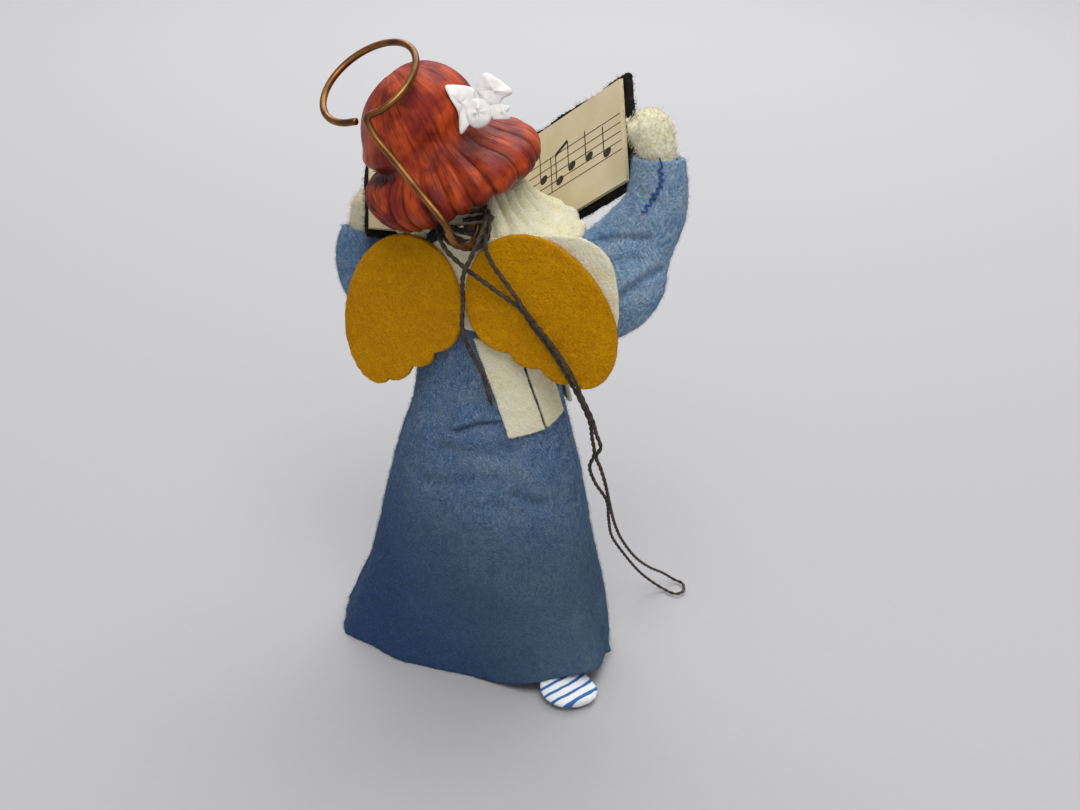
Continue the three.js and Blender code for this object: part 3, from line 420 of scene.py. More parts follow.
def spikeMesh(roots, bends, tips, radius):
    count = len(roots)
    along = unit(tips - roots)
    helper = np.where(np.abs(along[:, 2:3]) < spike["steep"], [[0.0, 0.0, 1.0]], [[1.0, 0.0, 0.0]])
    across = unit(np.cross(along, helper))
    over = np.cross(along, across)
    vertices = np.zeros((count, 7, 3))
    for i in range(3):
        angle = 2 * pi * i / 3
        out = (across * cos(angle) + over * sin(angle)) * radius
        vertices[:, i] = roots + out
        vertices[:, 3 + i] = bends + out * spike["taper"]
    vertices[:, 6] = tips
    shape = np.array(spike["root"] + spike["sides"] + spike["tip"])
    faces = (shape[None] + 7 * np.arange(count)[:, None, None]).reshape(-1, 3)
    return vertices.reshape(-1, 3), faces.tolist()


# Frayed fibres at the cut end
fray = {
    "seed": 4, "count": 44, "length": 1.7, "spread": 0.3, "radius": 0.07,
    "bundle": 0.18, "inside": 0.6, "bend": 0.15,
}
rng = np.random.default_rng(fray["seed"])
frayEnd = np.array(tailLine[-1])
frayAhead = np.array((tailLine[-1] - tailLine[-4]).normalized())
frayShape = (fray["count"], 3)
roots = frayEnd + rng.normal(0, fray["bundle"], frayShape) * mm - frayAhead * fray["inside"] * mm
tips = frayEnd + frayAhead * rng.uniform(0.4, 1, (fray["count"], 1)) * fray["length"] * mm
tips += rng.normal(0, fray["spread"], frayShape) * mm
bends = (roots + tips) / 2 + rng.normal(0, fray["bend"], frayShape) * mm
frayFibres = spikeMesh(roots, bends, tips, fray["radius"] * mm)
tailFray = meshPiece("tail_fray", *frayFibres, waxedTwist, "waxed_cord")

# The cord is wound twice round the gathered collar, and its ends are tied at the nape
binding = {
    "middle": (6.395, 0, 111),
    "tilt": 9, "radius": 10.58, "start": 100, "turns": 2, "steps": 220, "pitch": 1.7, "rise": 1.9,
}
bindingTurn = Matrix.Rotation(radians(binding["tilt"]), 3, "Y")
bindingLine = []
for i in range(binding["turns"] * binding["steps"] + 1):
    angle = radians(binding["start"]) + 2 * pi * i / binding["steps"]
    ring = Vector((cos(angle), sin(angle), 0)) * binding["radius"]
    ring.z = binding["rise"] + binding["pitch"] * i / binding["steps"]
    bindingLine.append(atDoll(*(Vector(binding["middle"]) + bindingTurn @ ring)))
bindingShape = tubeMesh(bindingLine, twistReach, twist["sides"])
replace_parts(meshPiece("binding_cord", *bindingShape, waxedTwist, "waxed_cord"), "neck_binding")
napeTies = [
    [
        (-0.6, 11, 117.6), (-1.4, 12.6, 115.4), (-1.9, 13.8, 112.8), (-1, 14.6, 110.4), (1.4, 15, 109.9),
        (4.4, 14.8, 110.2), (7.2, 13.8, 110.9), (10, 11.8, 112.2), (12.2, 9, 113.8),
    ],
    [
        (-1.4, 11, 116.6), (-2.6, 13, 114.2), (-2.9, 14.6, 111.4), (-1.2, 15.8, 109), (1.2, 16.2, 108.5),
        (4.2, 16, 108.7), (7.4, 14.8, 109.6), (10.4, 12.6, 111.2), (12.8, 9.6, 112.8),
    ],
    [(6.6, 12.6, 112), (3.4, 13.6, 111.4), (0.4, 13.8, 111.6), (-2, 13, 113.4), (-2.6, 11.4, 115.6)],
]
for k, route in enumerate(napeTies):
    cordPiece("nape_tie_" + str(k + 1), route)
print("cords made:", round(lineLength(loopLine), 3), "m loop and", round(lineLength(tailLine), 3), "m tail")


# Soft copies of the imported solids: rounded, remeshed finely and then moved as felt would lie


def pointsOf(piece, kind="co"):
    flat = np.empty(len(piece.data.vertices) * 3)
    piece.data.vertices.foreach_get(kind, flat)
    return flat.reshape(-1, 3)


def normalsOf(piece):
    return pointsOf(piece, "normal")


def movePoints(piece, points):
    piece.data.vertices.foreach_set("co", points.ravel())
    piece.data.update()


# Moves each point by its own number of millimetres along a direction
def push(piece, direction, amounts):
    movePoints(piece, pointsOf(piece) + np.array(direction) * (amounts * mm)[:, None])


def treeOf(piece):
    mesh = piece.data
    return BVHTree.FromPolygons([v.co for v in mesh.vertices], [p.vertices for p in mesh.polygons])


# Smooth noise from -1 to 1 with features of this size in millimetres
def waves(points, size, seed):
    scaled = points / (size * mm) + seed * 7.31
    return np.array([noise.noise(p) for p in scaled])


def ramp(values, low, high):
    t = np.clip((values - low) / (high - low), 0, 1)
    return t * t * (3 - 2 * t)


def bell(values, middle, width):
    return np.exp(-(((values - middle) / width) ** 2))


# Rounded ridges across a phase, and how far they stand from their level
def ridged(phase, blunt, deep, level):
    ridges = np.abs(np.sin(phase)) ** blunt
    return ridges, deep * (ridges - level)


# How a solid's facets are read: welded, joined into broad faces, and creased at the sharp edges
facets = {"weld": 0.01, "flat": 40, "shape": 60, "edge": 55}


def softCopy(node, name, look, material, body="doll"):
    work = bmesh.new()
    work.from_mesh(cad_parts[node].data)
    bmesh.ops.remove_doubles(work, verts=work.verts, dist=facets["weld"] * mm)
    bmesh.ops.join_triangles(
        work,
        faces=work.faces,
        angle_face_threshold=radians(facets["flat"]),
        angle_shape_threshold=radians(facets["shape"]),
    )
    creases = work.edges.layers.float.new("crease_edge")
    for edge in work.edges:
        if edge.is_manifold and edge.calc_face_angle() > radians(look.get("edge", facets["edge"])):
            edge[creases] = look.get("crease", 1.0)
    mesh = bpy.data.meshes.new(name)
    work.to_mesh(mesh)
    work.free()
    piece = linked(name, mesh)
    rounded = piece.modifiers.new("rounded", "SUBSURF")
    rounded.levels = look["levels"]
    # a thin sheet is swollen for the remesh, so that it keeps no holes, and drawn back after it
    swollen = piece.modifiers.new("swollen", "DISPLACE")
    swollen.mid_level = 0
    swollen.strength = look.get("swell", 0) * mm
    remesh = piece.modifiers.new("remesh", "REMESH")
    remesh.mode = "VOXEL"
    remesh.voxel_size = look["voxel"] * mm
    eased = piece.modifiers.new("eased", "SMOOTH")
    eased.factor = 0.5
    eased.iterations = look["ease"]
    bpy.context.view_layer.update()
    shaped = piece.evaluated_get(bpy.context.evaluated_depsgraph_get())
    piece.data = bpy.data.meshes.new_from_object(shaped)
    piece.modifiers.clear()
    movePoints(piece, pointsOf(piece) - normalsOf(piece) * look.get("swell", 0) * mm)
    piece.data.materials.clear()
    piece.data.materials.append(material)
    piece.data.polygons.foreach_set("use_smooth", [True] * len(piece.data.polygons))
    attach(piece, body)
    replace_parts(piece, node)
    return piece


# Felt's uneven face: pairs of size and depth, moved along each point's normal
def roughen(piece, layers):
    points = pointsOf(piece)
    normals = normalsOf(piece)
    for seed, (size, depth) in enumerate(layers):
        points = points + normals * (waves(points, size, seed + 1) * depth * mm)[:, None]
    movePoints(piece, points)


# Both faces of a sheet move together along a shared direction
def sway(piece, direction, layers):
    points = pointsOf(piece)
    push(piece, direction, sum(waves(points, size, k + 11) * depth for k, (size, depth) in enumerate(layers)))


# Distance of each point from a line through given points of the doll
def awayFrom(points, marks):
    line = np.array(smoothLine(routeAt(marks), 0.4 * mm))
    return np.min(np.linalg.norm(points[:, None] - line[None], axis=2), axis=1)


# Creases pressed into cloth along a shared direction: each has marks, a depth and a width, and the cloth
# above a mark may swell into a lip
lipForm = {"above": 2.2, "wider": 2}


def crease(piece, direction, folds):
    points = pointsOf(piece)
    moved = np.zeros(len(points))
    for fold in folds:
        width = fold["width"]
        moved -= fold["depth"] * bell(awayFrom(points, fold["marks"]), 0, width * mm)
        if "lip" in fold:
            lifted = [(x, y, z + width * lipForm["above"]) for x, y, z in fold["marks"]]
            moved += fold["lip"] * bell(awayFrom(points, lifted), 0, width * lipForm["wider"] * mm)
    push(piece, direction, moved)


# Nap: loose fibres that stand off the cloth and soften its edge. Where facing gives each point the way out,
# only the outer face has them
napForm = {"turned": -0.3, "bendAt": 0.45, "bendLift": 0.85, "kink": 0.12, "rooted": 0.08, "aboveFloor": 1.2}


def nap(piece, look, material, slot, facing=None):
    rng = np.random.default_rng(look["seed"])
    mesh = piece.data
    mesh.calc_loop_triangles()
    corners = np.empty(len(mesh.loop_triangles) * 3, dtype=np.int64)
    mesh.loop_triangles.foreach_get("vertices", corners)
    corners = corners.reshape(-1, 3)
    points = pointsOf(piece)
    normals = normalsOf(piece)
    a, b, c = (points[corners[:, i]] for i in range(3))
    areas = np.linalg.norm(np.cross(b - a, c - a), axis=1) / 2
    if facing is not None:
        turned = (normals * facing).sum(1)[corners].mean(1)
        areas = np.where(turned > napForm["turned"], areas, 0)
    count = int(areas.sum() / mm**2 * look["density"])
    picked = rng.choice(len(areas), count, p=areas / areas.sum())
    share = rng.dirichlet((1, 1, 1), count)
    roots = sum(points[corners[picked, i]] * share[:, i : i + 1] for i in range(3))
    normal = unit(sum(normals[corners[picked, i]] * share[:, i : i + 1] for i in range(3)))
    lay = rng.normal(0, 1, (count, 3))
    lay = unit(lay - normal * (lay * normal).sum(1, keepdims=True))
    length = rng.uniform(0.5, 1.0, (count, 1)) * look["length"] * mm
    lift = rng.uniform(0.3, 1.0, (count, 1)) ** 2 * look["lift"] * mm
    tips = roots + lay * length + normal * lift
    bends = roots + lay * length * napForm["bendAt"] + normal * lift * napForm["bendLift"]
    bends += rng.normal(0, napForm["kink"], (count, 3)) * length
    roots = roots - normal * napForm["rooted"] * mm
    for ends in (roots, bends, tips):
        ends[:, 2] = np.maximum(ends[:, 2], look["radius"] * napForm["aboveFloor"] * mm)
    shape = spikeMesh(roots, bends, tips, look["radius"] * mm)
    return meshPiece(piece.name + "_nap", *shape, material, slot)


def woolFibre(colour, grain, *tones):
    return grainedMaterial(colour + "_wool_fibre", {"tones": tones, "grain": grain, "roughness": 0.9})


# Dress: two brushed panels that meet at the side seams
blueNap = woolFibre("blue", 1.4, "#39567b", "#667d95")
dressLook = {"voxel": 0.48, "levels": 2, "ease": 3, "swell": 0.25}
dressNapLook = {"seed": 21, "density": 2.8, "length": 2.2, "lift": 0.5, "radius": 0.022}
dressFace = [(2.2, 0.14), (0.9, 0.08)]
dressSeam = {"middle": 1.2, "draw": 0.13, "within": (0.3, 1.2)}
# the felt buckles gently, less near the hem so that it still stands level
buckle = {"above": (2, 16), "layers": [(22, 0.8), (9, 0.45)]}
# the crease under the sash, and the dents below it
dressFolds = [
    {
        "marks": [(4.8, 14.1, 61.5), (1.5, 14.1, 63.2), (-1.9, 13.7, 64.6), (-5, 13.1, 65.2), (-8.1, 13, 66)],
        "depth": 1.5, "width": 0.65, "lip": 0.6,
    },
    {"marks": [(-12, 13.2, 47), (-14.4, 12.8, 46), (-17.6, 11.4, 45)], "depth": 1.7, "width": 2.0},
    {"marks": [(8, 14.4, 56), (0, 14.4, 56.6), (-8, 13.6, 57.4)], "depth": 1.0, "width": 2.0},
    {"marks": [(13, 14, 47), (4, 15.4, 48.4), (-6, 14.8, 51)], "depth": 1.0, "width": 2.2},
    {"marks": [(-8, 14, 60), (-14, 12.6, 57), (-20, 9.6, 53)], "depth": 0.9, "width": 1.6},
    {"marks": [(0, 15, 43), (-8, 15, 44.6), (-14, 13.6, 43)], "depth": 0.8, "width": 1.8},
]
for side in ("back", "front"):
    panel = softCopy("dress_" + side, "felt_dress_" + side, dressLook, blueFelt)
    points = pointsOf(panel)
    outward = points - np.array(atDoll(dressSeam["middle"], 0, 0))
    outward[:, 2] = 0
    outward = unit(outward)
    # the two seam allowances are sewn close together
    fromSeam = points[:, 1] - dollOrigin.y
    drawn = dressSeam["draw"] * (1 - ramp(np.abs(fromSeam) / mm, *dressSeam["within"]))
    push(panel, (0.0, -1.0, 0.0), np.sign(fromSeam) * drawn)
    sway(panel, outward * ramp(points[:, 2:3] / mm, *buckle["above"]), buckle["layers"])
    if side == "back":
        crease(panel, outward, dressFolds)
    roughen(panel, dressFace)
    points = pointsOf(panel)
    points[:, 2] = np.maximum(points[:, 2], 0)
    movePoints(panel, points)
    nap(panel, dressNapLook, blueNap, "dress_felt", outward)
print("dress made")

# Sleeves, with the creases at the right elbow and a fold that hangs below it
paleNap = woolFibre("pale_blue", 1.4, "#54769e", "#95a9b9")
sleeveLook = {"voxel": 0.42, "levels": 2, "ease": 3}
sleeveSheets = {
    "right": {"flat": (0.054, 0.046), "area": 0.00152},
    "left": {"flat": (0.048, 0.044), "area": 0.0012},
}
sleeveFolds = {
    "right": [
        {
            "marks": [(-22, 0.4, 108.6), (-26.9, -0.5, 109.8), (-31, -0.8, 110.5), (-35.4, -1.6, 111)],
            "depth": 1.2, "width": 1.1,
        },
        {
            "marks": [(-29.4, 3.8, 96.4), (-32.4, 2.6, 99.2), (-35.4, 0.8, 101.7), (-38.4, -2.2, 104)],
            "depth": 1.9, "width": 1.1, "lip": 0.9,
        },
        {"marks": [(-24, 2, 104), (-29, 1.6, 105), (-34, 0, 106.4)], "depth": 0.8, "width": 1.4},
        {"marks": [(-32.6, -2.4, 121), (-37, -3, 119)], "depth": 0.6, "width": 1.4},
    ],
    "left": [
        {"marks": [(26, 4, 92), (31, 1.6, 88.6), (37, -0.6, 84)], "depth": 1.1, "width": 1.3},
        {"marks": [(34, -1, 95), (38, -2.6, 91), (44, -5, 89)], "depth": 1.0, "width": 1.2},
    ],
}
for side, cut in sleeveSheets.items():
    sleeve = softCopy(side + "_sleeve", "felt_" + side + "_sleeve", sleeveLook, paleBlueFelt)
    sway(sleeve, (0.0, 1.0, 0.2), [(12, 0.5)])
    crease(sleeve, (0.0, 1.0, 0.0), sleeveFolds[side])
    roughen(sleeve, dressFace)
    nap(sleeve, dressNapLook, paleNap, "dress_felt")
    if side == "right":
        sleeveTree = treeOf(sleeve)

# Zigzag stitches of dark blue thread run down the right sleeve from its cuff
stitch = {
    "marks": [
        (-36.2, -4, 128.2), (-37.2, -3.1, 125.6), (-37.2, -2.8, 123.5),
        (-36.1, -2.4, 121.3), (-33.5, -1.9, 116.4),
    ],
    "end": (0.6, 0.5, 2.2),
    "pitch": 0.75, "swing": 0.5, "radius": 0.21, "lift": 0.3, "spacing": 0.15, "sides": 8,
}
seam = smoothLine(routeAt(stitch["marks"]), stitch["pitch"] * mm)
threadPoints = []
for k in range(1, len(seam) - 1):
    nearest, normal, face, away = sleeveTree.find_nearest(seam[k])
    swing = stitch["swing"] * (1 if k % 2 else -1) * mm
    aside = normal.cross(seam[k + 1] - seam[k - 1]).normalized() * swing
    surface, normal, face, away = sleeveTree.find_nearest(nearest + aside)
    threadPoints.append(surface + normal * stitch["lift"] * mm)
threadEnd = threadPoints[0] + Vector(stitch["end"]) * mm
threadLine = smoothLine([threadEnd, *threadPoints], stitch["spacing"] * mm)
threadShape = tubeMesh(threadLine, lambda s, angle: stitch["radius"] * mm, stitch["sides"])
threadLook = {"tones": ("#23407f", "#34549a"), "grain": 0.3, "roughness": 0.7}
meshPiece("sleeve_stitches", *threadShape, grainedMaterial("blue_sewing_thread", threadLook), "dress_felt")

# Song book: where it is held, in the doll's frame
book = {"place": (6.8, -33, 107.3), "turn": (41.5, 16.3, 8.8), "opening": 34, "width": 39.8, "height": 27.1}
bookTurn = Euler([radians(a) for a in book["turn"]], "XYZ").to_matrix()
opening = radians(book["opening"])

# Stuffed fleece arms and torso. The right mitten is pressed against the edge of the page that it holds
creamNap = woolFibre("cream", 1.2, "#e4dcbb", "#f1ecd8")
fleeceLook = {"voxel": 0.45, "levels": 2, "ease": 4}
fleeceNapLook = {"seed": 31, "density": 3.0, "length": 1.9, "lift": 1.1, "radius": 0.045}
grip = {"past": 2.4, "slope": 0.9, "give": 0.97, "behind": (-2.5, -0.8), "beside": (2, 4)}
for side in ("right", "left"):
    arm = softCopy(side + "_arm", "fleece_" + side + "_arm", fleeceLook, creamFelt)
    if side == "right":
        inBook = ((pointsOf(arm) - np.array(atDoll(*book["place"]))) @ np.array(bookTurn)) / mm
        along = inBook[:, 1] * sin(opening) - inBook[:, 0] * cos(opening)
        out = inBook[:, 1] * cos(opening) + inBook[:, 0] * sin(opening)
        beside = 1 - ramp(np.abs(inBook[:, 2]) - book["height"] / 2, *grip["beside"])
        edge = book["width"] + grip["past"] + grip["slope"] * np.maximum(out, 0)
        over = np.maximum(0, edge - along) * grip["give"] * ramp(out, *grip["behind"]) * beside
        push(arm, bookTurn @ Vector((-cos(opening), sin(opening), 0)), over)
    roughen(arm, [(4, 0.3), (1.5, 0.28), (0.8, 0.1)])
    nap(arm, fleeceNapLook, creamNap, "fleece")
torso = softCopy("torso", "fleece_torso", {"voxel": 0.9, "levels": 2, "ease": 2}, creamFelt)
print("sleeves and stuffing made")

# Pinafore: the gathered neck with its collar, panels and sash ends
creamLook = {"voxel": 0.36, "levels": 2, "ease": 2}
creamNapLook = {"seed": 41, "density": 1.0, "length": 1.2, "lift": 0.45, "radius": 0.03}
gather = softCopy("neck_gather", "felt_neck_gather", creamLook, creamFelt)
roughen(gather, [(2, 0.12), (0.9, 0.05)])
# the collar's ribs run out from the neck, deepest where the cord draws them in. Its right side falls fuller
# over the shoulder, and its free edge is puffed
collar = {
    "ribs": 14, "wander": 0.8, "wave": 5, "blunt": 0.8, "out": 0.8, "up": 0.6,
    "deep": 2.5, "shallower": 2.0, "ease": (12.5, 18), "puffs": (11, 16), "puff": 0.9,
    "falls": (11, 18), "fall": 3.2, "toward": 168, "aim": (0.6, 0.95), "down": (0.5, 0.0, 1.0),
}
# the back panel shows past the wing's right edge, and rises to the collar
strip = {
    "past": 1.5, "pastFrom": (17, 28), "aside": (1.0, 0.21, 0.0), "nape": 5, "napeFrom": (-14, -6),
    "shoulder": 1.8, "shoulderFrom": (4, 18), "upper": (95, 106),
}
creamSheets = {
    "pinafore_collar": {
        "flat": (0.13, 0.0125), "area": 0.00128, "held": "gathered", "on": "dress_back", "with": [gather],
    },
    "pinafore_back": {"flat": (0.046, 0.021), "area": 0.00085, "held": "laid", "on": "dress_back"},
    "pinafore_front": {"flat": (0.04, 0.033), "area": 0.00102, "held": "laid", "on": "dress_front"},
    "sash_tail_inner": {"flat": (0.0105, 0.0245), "area": 0.00022, "held": "hung", "on": "dress_back"},
    "sash_tail_outer": {"flat": (0.01, 0.0215), "area": 0.000136, "held": "hung", "on": "dress_back"},
}
for node, cut in creamSheets.items():
    panel = softCopy(node, "felt_" + node, creamLook, creamFelt)
    points = pointsOf(panel)
    if node == "pinafore_collar":
        fromNeck = (points - np.array(atDoll(*binding["middle"]))) @ np.array(bindingTurn)
        angle = np.arctan2(fromNeck[:, 1], fromNeck[:, 0])
        spread = np.hypot(fromNeck[:, 0], fromNeck[:, 1]) / mm
        wander = collar["wander"] * waves(fromNeck, collar["wave"], 2)
        deep = collar["deep"] - collar["shallower"] * ramp(spread, *collar["ease"])
        ribs = ridged(collar["ribs"] * angle + wander, collar["blunt"], deep, 0.5)[1]
        upward = np.full(len(angle), collar["up"])
        outUp = np.stack([np.cos(angle) * collar["out"], np.sin(angle) * collar["out"], upward], 1)
        facing = np.cos(angle - radians(collar["toward"]))
        fall = ramp(spread, *collar["falls"]) * ramp(facing, *collar["aim"]) * collar["fall"]
        points = points - np.array(collar["down"]) * (fall * mm)[:, None]
        points = points + normalsOf(panel) * (collar["puff"] * ramp(spread, *collar["puffs"]) * mm)[:, None]
        movePoints(panel, points + outUp @ np.array(bindingTurn).T * (ribs * mm)[:, None])
    if node == "pinafore_back":
        toRight = -(points[:, 0] - dollOrigin.x) / mm
        above = ramp(toRight, *strip["napeFrom"]) * strip["nape"]
        above += ramp(toRight, *strip["shoulderFrom"]) * strip["shoulder"]
        above *= ramp(points[:, 2] / mm, *strip["upper"])
        push(panel, -np.array(strip["aside"]), ramp(toRight, *strip["pastFrom"]) * strip["past"])
        push(panel, (0.0, 0.0, 1.0), above)
    roughen(panel, [(3, 0.16), (1, 0.06)])
    nap(panel, creamNapLook, creamNap, "pinafore_felt")

# Wings: die-cut craft felt
mustardNap = woolFibre("mustard", 1.0, "#a87404", "#bd8708")
wingLook = {"voxel": 0.36, "levels": 1, "ease": 2}
wingNapLook = {"seed": 51, "density": 1.1, "length": 0.9, "lift": 0.4, "radius": 0.03}
for side in ("left", "right"):
    wing = softCopy(side + "_wing", "felt_" + side + "_wing", wingLook, mustardFelt)
    sway(wing, (0.0, 1.0, 0.0), [(20, 0.35)])
    roughen(wing, [(2, 0.1), (0.8, 0.05)])
    nap(wing, wingNapLook, mustardNap, "wing_felt")
print("pinafore and wings made")

# Socks: white knit with thin blue rings that curve over the foot
sock = {
    "tones": ("#f0f2f4", "#3a6fae"), "spacing": 1.25, "wobble": (2.5, 0.5), "edge": (0.62, 0.72), "knit": 0.6,
}


def sockMaterial(name, centre):
    material, tree, place = newMaterial(name)
    size, swing = sock["wobble"]
    low, high = sock["edge"]
    white, blue = sock["tones"]
    away = addNode(tree, "VectorMath", {0: place, 1: centre}, "Value", operation="DISTANCE")
    wobble = noiseMask(tree, place, size, 0.0, 1.0)
    rings = addNode(tree, "Math", {0: away, 1: 1 / (sock["spacing"] * mm)}, operation="MULTIPLY")
    moved = addNode(tree, "Math", {0: wobble, 1: swing, 2: rings}, operation="MULTIPLY_ADD")
    repeat = addNode(tree, "Math", {0: moved, 1: 1.0}, operation="PINGPONG")
    ring = addNode(tree, "MapRange", {"Value": repeat, "From Min": low, "From Max": high})
    colour = addNode(tree, "Mix", {0: ring, 6: white, 7: blue}, **colourMix)
    knit = noiseMask(tree, place, sock["knit"], 0.3, 0.7)
    bump = addNode(tree, "Bump", {"Height": knit, "Strength": 0.5, "Distance": 0.2 * mm})
    finishMaterial(tree, colour, 0.9, 0.15, {"Normal": bump})
    return material


# the way each foot points, and the way that its rings step over the toe
legs = {
    "right_leg": {"heading": (-0.7189, 0.6951, 0.25), "rings": (-0.8, 0.2, -0.55)},
    "left_leg": {"heading": (0.6402, -0.7682, 0.25), "rings": (0.8, -0.2, -0.55)},
}
legLook = {"voxel": 0.5, "levels": 2, "ease": 4}
# the stuffed right toe spreads a little where it comes out under the hem
toeForm = {"ahead": 7, "ringsBehind": 14, "low": 8, "spread": 0.2, "spreadBelow": (7, 14)}
for node, look in legs.items():
    heading = look["heading"]
    legLow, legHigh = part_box(node)
    sole = Vector(((legLow.x + legHigh.x) / 2, (legLow.y + legHigh.y) / 2, legLow.z))
    toe = sole + Vector(heading) * toeForm["ahead"] * mm
    knit = sockMaterial("ringed_knit_" + node, toe - Vector(look["rings"]) * toeForm["ringsBehind"] * mm)
    leg = softCopy(node, "knit_" + node, legLook, knit, node)
    if node == "right_leg":
        points = pointsOf(leg)
        sideways = np.array((-heading[1], heading[0], 0.0))
        middle = (points @ sideways)[points[:, 2] < toeForm["low"] * mm].mean()
        wider = toeForm["spread"] * (1 - ramp(points[:, 2] / mm, *toeForm["spreadBelow"]))
        push(leg, sideways, (points @ sideways - middle) / mm * wider)
    roughen(leg, [(3, 0.15), (0.9, 0.05)])
print("legs made")

# Head frame: z up the head's tilted axis, -y to the face, in millimetres
headTilt = {"side": 26, "back": 12, "turn": -8, "lift": 26.6, "radius": 10.6, "drop": 0.6}
headLean = [tan(radians(headTilt[k])) for k in ("side", "back")]
headUp = Vector((*headLean, 1)).normalized()
headTurn = Vector((0, 0, 1)).rotation_difference(headUp)
headTurn = headTurn @ Quaternion((0, 0, 1), radians(headTilt["turn"]))
headMiddle = atDoll(*(neckPivot + headUp * headTilt["lift"]))
headFrame = Matrix.Translation(headMiddle) @ headTurn.to_matrix().to_4x4() @ Matrix.Scale(mm, 4)
intoHead = np.array(headFrame.inverted())

# Painted cast hair: orange over a dark wash that stays in the recesses, with fine dry-brushed strands, and
# painted shade in the darkest tone
hairPaint = {
    "tones": ("#902513", "#cc5120"),
    "washNoise": {"Scale": 0.3, "Detail": 3.0, "Roughness": 0.7},
    "streakNoise": {"Scale": 1.0, "Detail": 5.0, "Roughness": 0.72},
    "wash": {"span": (0.52, 0.36, 0.75), "tone": "#62190f"},
    "dark": {"span": (0.46, 0.34, 0.5), "tone": "#571610"},
    "blotch": {"share": 0.75, "tone": "#5e160e"},
    "pale": {"span": (0.6, 0.7, 0.45), "tone": "#d26d2b"},
    # the darkest tone: the wash in the recesses and the painted shade
    "washAndShade": {"tone": "#3f0f0a"},
}


def hairMaterial():
    material, tree, place = newMaterial("painted_cast_hair")
    strand = addNode(tree, "Attribute", output="Vector", attribute_name="strand")
    wash = addNode(tree, "TexNoise", {"Vector": strand, **hairPaint["washNoise"]})
    streaks = addNode(tree, "TexNoise", {"Vector": strand, **hairPaint["streakNoise"]})
    # the wash in the recesses and the painted shade, stored on the mesh
    masks = {"washAndShade": addNode(tree, "Attribute", output="Fac", attribute_name="washAndShade")}
    for layer, source in (("wash", wash), ("dark", streaks), ("pale", streaks)):
        low, high, most = hairPaint[layer]["span"]
        inputs = {"Value": source, "From Min": low, "From Max": high, "To Max": most}
        masks[layer] = addNode(tree, "MapRange", inputs)
    blotch = noiseMask(tree, place, 7.5, 0.52, 0.66, 4.0)
    inputs = {0: blotch, 1: hairPaint["blotch"]["share"]}
    masks["blotch"] = addNode(tree, "Math", inputs, operation="MULTIPLY")
    patch = noiseMask(tree, place, 6, 0.4, 0.6)
    first, second = hairPaint["tones"]
    colour = addNode(tree, "Mix", {0: patch, 6: first, 7: second}, **colourMix)
    for layer in ("wash", "dark", "blotch", "pale", "washAndShade"):
        inputs = {0: masks[layer], 6: colour, 7: hairPaint[layer]["tone"]}
        colour = addNode(tree, "Mix", inputs, **colourMix)
    bump = addNode(tree, "Bump", {"Height": streaks, "Strength": 1.0, "Distance": 0.25 * mm})
    finishMaterial(tree, colour, 0.3, 0.18, {"Normal": bump})
    return material


# Fat locks run down to the flip at the right, and thin strands lie aslant on the roll at the left. The crown
# swells over a step at the left, above the roll, and a hollow under the bow parts the flip from the crown
hairLook = {"voxel": 0.3, "levels": 2, "ease": 5, "edge": 60, "crease": 0.7}
hairForm = {
    "low": (2, 12),
    "roll": (1, 9),
    "wander": {"across": 9, "along": 0.25, "size": 6, "deep": 0.12},
    "crown": {"across": 13, "along": 0.2, "size": 1.5, "deep": 0.13},
    "locks": 13,
    "lock": {"blunt": 0.7, "deep": 1.05, "level": 0.7},
    "slant": {"across": 17, "along": 1.1, "wander": 6, "pitch": 1.7},
    "rope": {"blunt": 0.8, "deep": 0.6, "level": 0.6},
    "outside": {"radius": 11.2, "above": 5},
    "hollow": {"place": (2.4, 13, 132.4), "size": 4.2, "deep": 1.2},
    "step": {"side": (-5, 7), "behind": (-9, 0)},
    "swell": {"place": (-3.2, 1.9), "out": 0.9},
    "drop": {"place": (-6.8, 1.3), "in": 1.9},
}
# a dark wash lies in the recesses between locks and strands; painted shade darkens the step under the crown,
# the underside of the roll, the hollow by the bow and patches of the lower hair
hairWashAndShade = {
    "level": 0.5, "locks": 1.6, "rope": 1.5, "lowShade": 0.3, "lowShadeSize": 4, "lowShadeFrom": 0.6,
    "underCrown": (-6.6, 1.5), "crownShare": 0.95, "underRoll": (16.5, 20.5), "rollShare": 0.5,
    "hollow": 0.8, "most": 0.92,
}
# strand coordinates: one unit is a strand's width across and about five millimetres along
strandForm = {"across": 12.5, "slope": 0.7, "width": 0.32, "length": 5}


def combed(around, height, look, seed):
    place = np.stack([around * look["across"], height * look["along"], 0 * around], 1)
    return look["deep"] * waves(place * mm, look["size"], seed)


hair = softCopy("hair", "cast_hair", hairLook, hairMaterial())
points = pointsOf(hair)
side, behind, height = (points @ intoHead[:3, :3].T + intoHead[:3, 3]).T
around = np.arctan2(behind, side)
low = ramp(-height, *hairForm["low"])
rolled = low * ramp(side, *hairForm["roll"])
locked = low * (1 - rolled)
wander = combed(around, height, hairForm["wander"], 3)
slant = hairForm["slant"]
slanted = around * slant["across"] + height * slant["along"] + slant["wander"] * wander
locks, lockDepth = ridged(hairForm["locks"] * (around + wander), **hairForm["lock"])
rope, ropeDepth = ridged(pi * slanted / slant["pitch"], **hairForm["rope"])
crownDepth = combed(around + wander, height, hairForm["crown"], 5)
outside = np.hypot(side, behind) > hairForm["outside"]["radius"]
shown = np.where(outside | (height > hairForm["outside"]["above"]), 1.0, 0.0)
dent = hairForm["hollow"]
hollow = bell(np.linalg.norm(points - np.array(atDoll(*dent["place"])), axis=1), 0, dent["size"] * mm)
step = ramp(side, *hairForm["step"]["side"]) * ramp(behind, *hairForm["step"]["behind"])
swell, drop = hairForm["swell"], hairForm["drop"]
stepDepth = step * (swell["out"] * bell(height, *swell["place"]) - drop["in"] * bell(height, *drop["place"]))
depth = locked * lockDepth + rolled * ropeDepth + crownDepth + stepDepth - dent["deep"] * hollow
